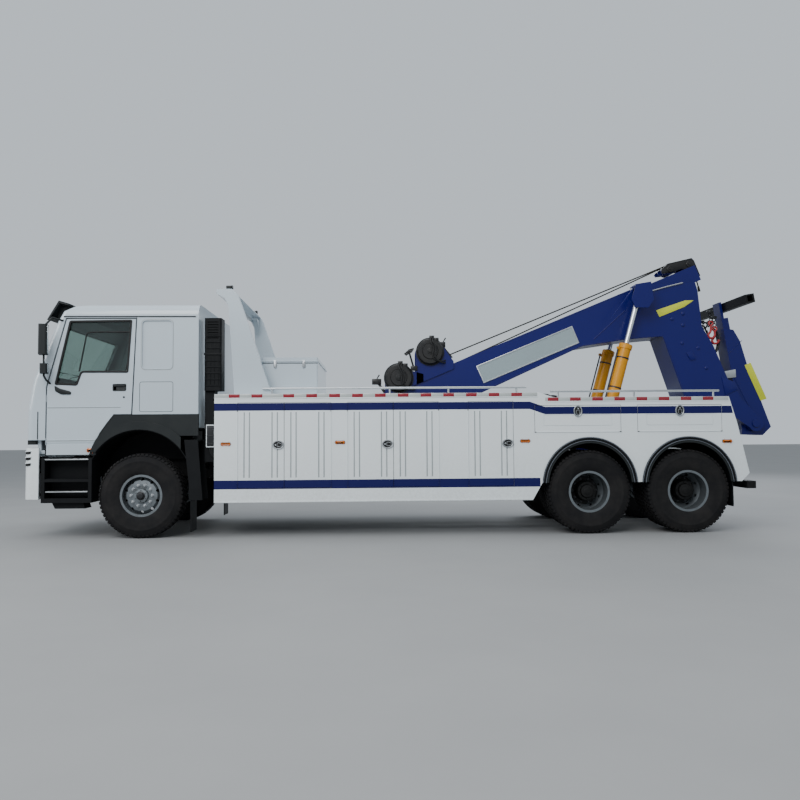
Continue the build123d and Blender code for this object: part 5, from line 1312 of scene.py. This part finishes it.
# %% Steel patches, studs and weld beads
patches = [side_plate([(-3988, 2534), (-4070, 2564), (-4133, 2443), (-4052, 2424)], BOOM_SIDE, BOOM_SIDE + 12, edge=3)]
STUDS = [(-3789, 3048), (-3953, 3128), (-3948, 2957), (-3931, 2685), (-4172, 2614), (-4285, 2312)]
for x, z in STUDS:
    patches.append(lathe([(0, 0), (0, 26), (6, 26), (10, 20), (12, 0)], (x, BOOM_SIDE, z), (0, 1, 0), steps=20))
patches.append(side_plate([(-4510, 2180), (-4700, 2100), (-4760, 1990), (-4560, 1900)], BOOM_SIDE - 1, BOOM_SIDE + 10,
                          edge=3))
settle(both_sides(joined(*patches)), "column_patches", boom_blue, "boom")
pad = side_plate([(-4571, 2261), (-4781, 2301), (-4784, 2179), (-4599, 2160)], 150, 162, corner=10, edge=3)
settle(both_sides(pad), "arm_wear_pad", rolled_alloy, "underlift_arm")


def bead(points, y, r=5):
    """A weld bead: a thin round seam that follows points in the side view."""
    return hose([(x, y, z) for x, z in points], r, sides=1, order=2)


seams = [bead([(-3083, 2752), (-3640, 2800), (-3700, 2640), (-4014, 1720)], BOOM_SIDE),
         bead([(-2430, 2657), (-3081, 2752)], BOOM_SIDE), bead([(-600, 1833), (-2400, 2650)], BOOM_SIDE),
         bead([(-3400, 3577), (-2500, 3206), (-1300, 2712)], BOOM_SIDE),
         bead([(-2600, 2745), (-3080, 3180)], BOOM_SIDE, 7)]
settle(both_sides(joined(*seams)), "boom_welds", boom_blue, "boom")
arm_seams = [bead([(-4681, 2535), (-4892, 2737)], 150), bead([(-4700, 2300), (-4990, 1700), (-5120, 1520)], 150)]
settle(both_sides(joined(*arm_seams)), "arm_welds", boom_blue, "underlift_arm")

# %% [markdown]
# ## Cylinders, pipes and hooks
# A lift cylinder ends in a gland ring. A steel pipe runs along the barrel. Two red hooks
# hang behind the column on short chains.

# %% Lift cylinder fittings
CYL_FOOT = Vector((-2616, 415, 1150))
CYL_EYE = Vector((-3243, 415, 3390))
cyl_line = (CYL_EYE - CYL_FOOT).normalized()
BARREL = (87, 1559)
ring_profile = [(-70, 86), (-70, 97), (-8, 97), (0, 92), (4, 60), (4, 40), (-4, 40), (-4, 86), (-70, 86)]
gland = lathe(ring_profile, CYL_FOOT + cyl_line * BARREL[1], cyl_line, steps=40)
lower = lathe([(-20, 86), (-20, 96), (20, 96), (20, 86), (-20, 86)], CYL_FOOT + cyl_line * 620, cyl_line, steps=40)
port = rod(CYL_FOOT + cyl_line * 1480 + Vector((70, 30, 0)), CYL_FOOT + cyl_line * 1490 + Vector((128, 52, 20)), 20, edge=2)
settle(both_sides(joined(gland, lower, port)), "cylinder_glands", cylinder_yellow, "lift_barrels")
side_pipe = Vector((104, 34, 28))
steel = [hose([CYL_FOOT + cyl_line * s + side_pipe for s in (330, 700, 1100, 1400, 1492)], 11)]
for s in (430, 900, 1350):
    steel.append(lathe([(-10, 86), (-10, 92), (10, 92), (10, 86), (-10, 86)], CYL_FOOT + cyl_line * s, cyl_line, steps=32))
settle(both_sides(joined(*steel)), "cylinder_pipes", dark_steel, "lift_barrels")
wiper_ring = lathe([(0, 39), (0, 52), (10, 50), (12, 39), (0, 39)], CYL_FOOT + cyl_line * (BARREL[1] + 4), cyl_line)
settle(both_sides(wiper_ring), "rod_wipers", seal_black, "lift_barrels")

# %% Pipes of the boom and the column
hard = hose([(-3420, 278, 3452), (-3700, 278, 3530), (-3960, 278, 3592)], 10, order=2)
settle(both_sides(hard), "boom_pipes", zinc_steel, "boom")
soft = [hose([(-4480, 120, 2930), (-4530, 150, 2800), (-4500, 170, 2600), (-4440, 150, 2460)], 13),
        hose([(-4420, 90, 3000), (-4500, 150, 2900), (-4560, 190, 2740), (-4480, 190, 2560)], 13),
        hose([(-4400, 60, 3020), (-4440, 90, 3060), (-4480, 60, 3010), (-4430, 40, 2960)], 13)]
settle(both_sides(joined(*soft)), "column_hoses", hose_black, "boom")


def tow_hook(x, y, z):
    """An open hook with its eye and a short chain above."""
    bend = hose([(x, y, z), (x - 2, y, z - 55), (x + 6, y, z - 100), (x + 52, y, z - 150), (x + 20, y, z - 205),
                 (x - 48, y, z - 185), (x - 62, y, z - 140)], 17)
    eye = lathe([(14 * math.sin(t), 30 + 14 * math.cos(t)) for t in (math.tau * i / 8 for i in range(9))],
                (x, y, z + 26), (0, 1, 0), steps=24)
    return joined(bend, eye)


hooks = [tow_hook(-4452, 215, 2880), tow_hook(-4388, 232, 2960)]
settle(both_sides(joined(*hooks)), "tow_hooks", hook_red, "boom")
links = []
for x, y, z in ((-4452, 215, 2926), (-4388, 232, 3006)):
    for i in range(3):
        link = lathe([(7 * math.sin(t), 22 + 7 * math.cos(t)) for t in (math.tau * k / 6 for k in range(7))],
                     (x + 4 * i, y, z + 36 + 38 * i), (i % 2, (i + 1) % 2, 0), steps=16)
        links.append(link)
    links.append(block(x - 30, x + 60, y - 30, y + 24, z + 130, z + 170, edge=6))
settle(both_sides(joined(*links)), "hook_chains", dark_steel, "boom")

# %% [markdown]
# ## Bumper louvres and front plate
# At its outer corners the bumper has three slanted openings. Each is a black patch on the
# skin, painted shade of the opening, with a thin painted fin above it, which throws the
# shadow that makes the slot read.

# %% Bumper corner
# Black patches for the openings: painted shade.
slot_shades = []
fins = []
for z in (1143, 1066, 988):
    slot_shades.append(side_plate([(5196, z - 14), (5262, z - 22), (5262, z + 14), (5196, z + 20)], 1240 - 2, 1241.5, corner=7))
    fins.append(side_plate([(5190, z + 18), (5266, z + 12), (5266, z + 24), (5190, z + 30)], 1239, 1250, edge=3))
settle(both_sides(joined(*slot_shades)), "bumper_slots", seal_black, "chassis")
settle(both_sides(joined(*fins)), "bumper_fins", coach_white, "chassis")
plate = prism([(5300, -540, 620), (5300, 540, 620), (5300, 540, 720), (5300, -540, 720)], (3, 0, 0), corner=14, edge=1)
tow_eye = [lathe([(0, 0), (0, 34), (6, 34), (10, 22), (10, 0)], (5299, y, 1020), (1, 0, 0), steps=24) for y in (-430, 430)]
settle(joined(plate, *tow_eye), "bumper_front_plate", grained_black, "chassis")

# %% [markdown]
# ## Air intake and electric box
# The intake stack is a blown moulding with ribs that stiffen its walls. Beside it stands a
# small steel box with two locks, with cables that leave below.

# %% Intake ribs
ribs = []
for i in range(9):
    z = 2020 + 84 * i
    ribs.append(side_plate(oblong(2728, 2942, z, z + 16), 1149, 1158, corner=4, edge=3))
for x in (2760, 2812, 2864, 2916):
    ribs.append(side_plate(oblong(x - 5, x + 5, 2020, 2640), 1149, 1154, edge=2))
band = side_plate(oblong(2716, 2954, 2440, 2470), 1148, 1156, edge=2)
settle(joined(*ribs, band), "intake_ribs_left", step_black, "chassis")

# %% Electric box
door_panel = side_plate(oblong(2800, 2895, 1212, 1488), 1214, 1219, corner=8, edge=1.5)
grips = [lathe([(0, 0), (0, 11), (8, 11), (9, 7), (9, 0)], (2812, 1218, z), (0, 1, 0), steps=18) for z in (1270, 1430)]
straps = [side_plate(oblong(2797, 2898, z, z + 9), 1213, 1223, edge=2) for z in (1245, 1347, 1449)]
settle(joined(door_panel, *grips, *straps), "electric_box_door", dark_steel, "chassis")
cables = [hose([(2820 + 24 * i, 1190, 1205), (2818 + 20 * i, 1196, 1140), (2800 + 10 * i, 1180, 1060),
                (2790, 1130 - 20 * i, 990)], 8) for i in range(3)]
settle(joined(*cables), "electric_box_cables", hose_black, "chassis")

# %% [markdown]
# ## Chest and deck
# The deck chest has a folded lid with a dark joint and toggle latches. Hoses loop over
# the rear deck.

# %% Chest joint and latches
joint = side_plate(oblong(1458, 2226, 2352, 2360), 826, 833)
front_joint = block(2226, 2234, -826, 826, 2352, 2360, edge=0)
chest_latches = []
for x in (1640, 2040):
    chest_latches.append(side_plate(oblong(x - 24, x + 24, 2300, 2400), 831, 838, corner=6, edge=1.5))
    chest_latches.append(side_plate(oblong(x - 14, x + 14, 2290, 2384), 837, 848, corner=5, edge=3))
settle(joined(both_sides(joint), front_joint), "chest_joint", seal_black, "chassis")
settle(both_sides(joined(*chest_latches)), "chest_latches", zinc_steel, "chassis")

# %% Hoses on the rear deck
loops = []
for i, (x, rise) in enumerate(((-1790, 1900), (-1930, 1886))):
    loops.append(hose([(x + 140, 560 - 90 * i, 1770), (x + 130, 570 - 90 * i, rise - 40), (x + 60, 590 - 90 * i, rise + 14),
                       (x - 60, 590 - 90 * i, rise + 10), (x - 130, 570 - 90 * i, rise - 50),
                       (x - 140, 550 - 90 * i, 1770)], 15, order=4))
settle(joined(*loops), "rear_deck_hoses", hose_black, "chassis")

# %% [markdown]
# ## The studio
# A pale floor that runs far behind the truck, a pale sky, one large soft light from the
# camera's upper left, one from the front and one from the back to draw the edges.


# %% Floor, sky and lights
def emit_light(name, at, aim, size, power, tint="#ffffff"):
    """A square area light at one point, turned to another."""
    bpy.ops.object.select_all(action="DESELECT")
    bpy.ops.object.light_add(type="AREA", location=at)
    light = bpy.context.object
    light.name = name
    light.data.size = size
    light.data.energy = power
    light.data.color = linear(tint)[:3]
    light.rotation_euler = (Vector(aim) - Vector(at)).to_track_quat("-Z", "Y").to_euler()
    return light


emit_light("key_light", (5, 13, 11), (0, 0, 1.5), 9, 1750)
emit_light("front_light", (15, 4, 6), (4, 0, 1.5), 6, 540)
emit_light("back_light", (-8, -12, 9), (-1, 0, 2), 8, 820, "#f4f8ff")
emit_light("top_light", (0, 1, 14), (0, 0, 0), 12, 640)

bpy.ops.object.select_all(action="DESELECT")
bpy.ops.mesh.primitive_plane_add(size=160, location=(0, 0, -0.0005))
floor = bpy.context.object
floor.name = "studio_floor"
paving, tree, principled, where = start_finish("pale_paving", Roughness=0.75)
mottle = node(tree, "TexNoise", {"Vector": where, "Scale": 0.6, "Detail": 8.0, "Roughness": 0.6})
tone = node(tree, "MixRGB", {"Fac": mottle.outputs["Fac"], "Color1": linear("#929393"), "Color2": linear("#848586")})
tree.links.new(tone.outputs["Color"], principled.inputs["Base Color"])
floor.data.materials.append(paving)

world = bpy.data.worlds.new("pale_sky")
bpy.context.scene.world = world
world.use_nodes = True
sky = world.node_tree.nodes["Background"]
sky.inputs["Color"].default_value = linear("#dfe8f0")
sky.inputs["Strength"].default_value = 0.85
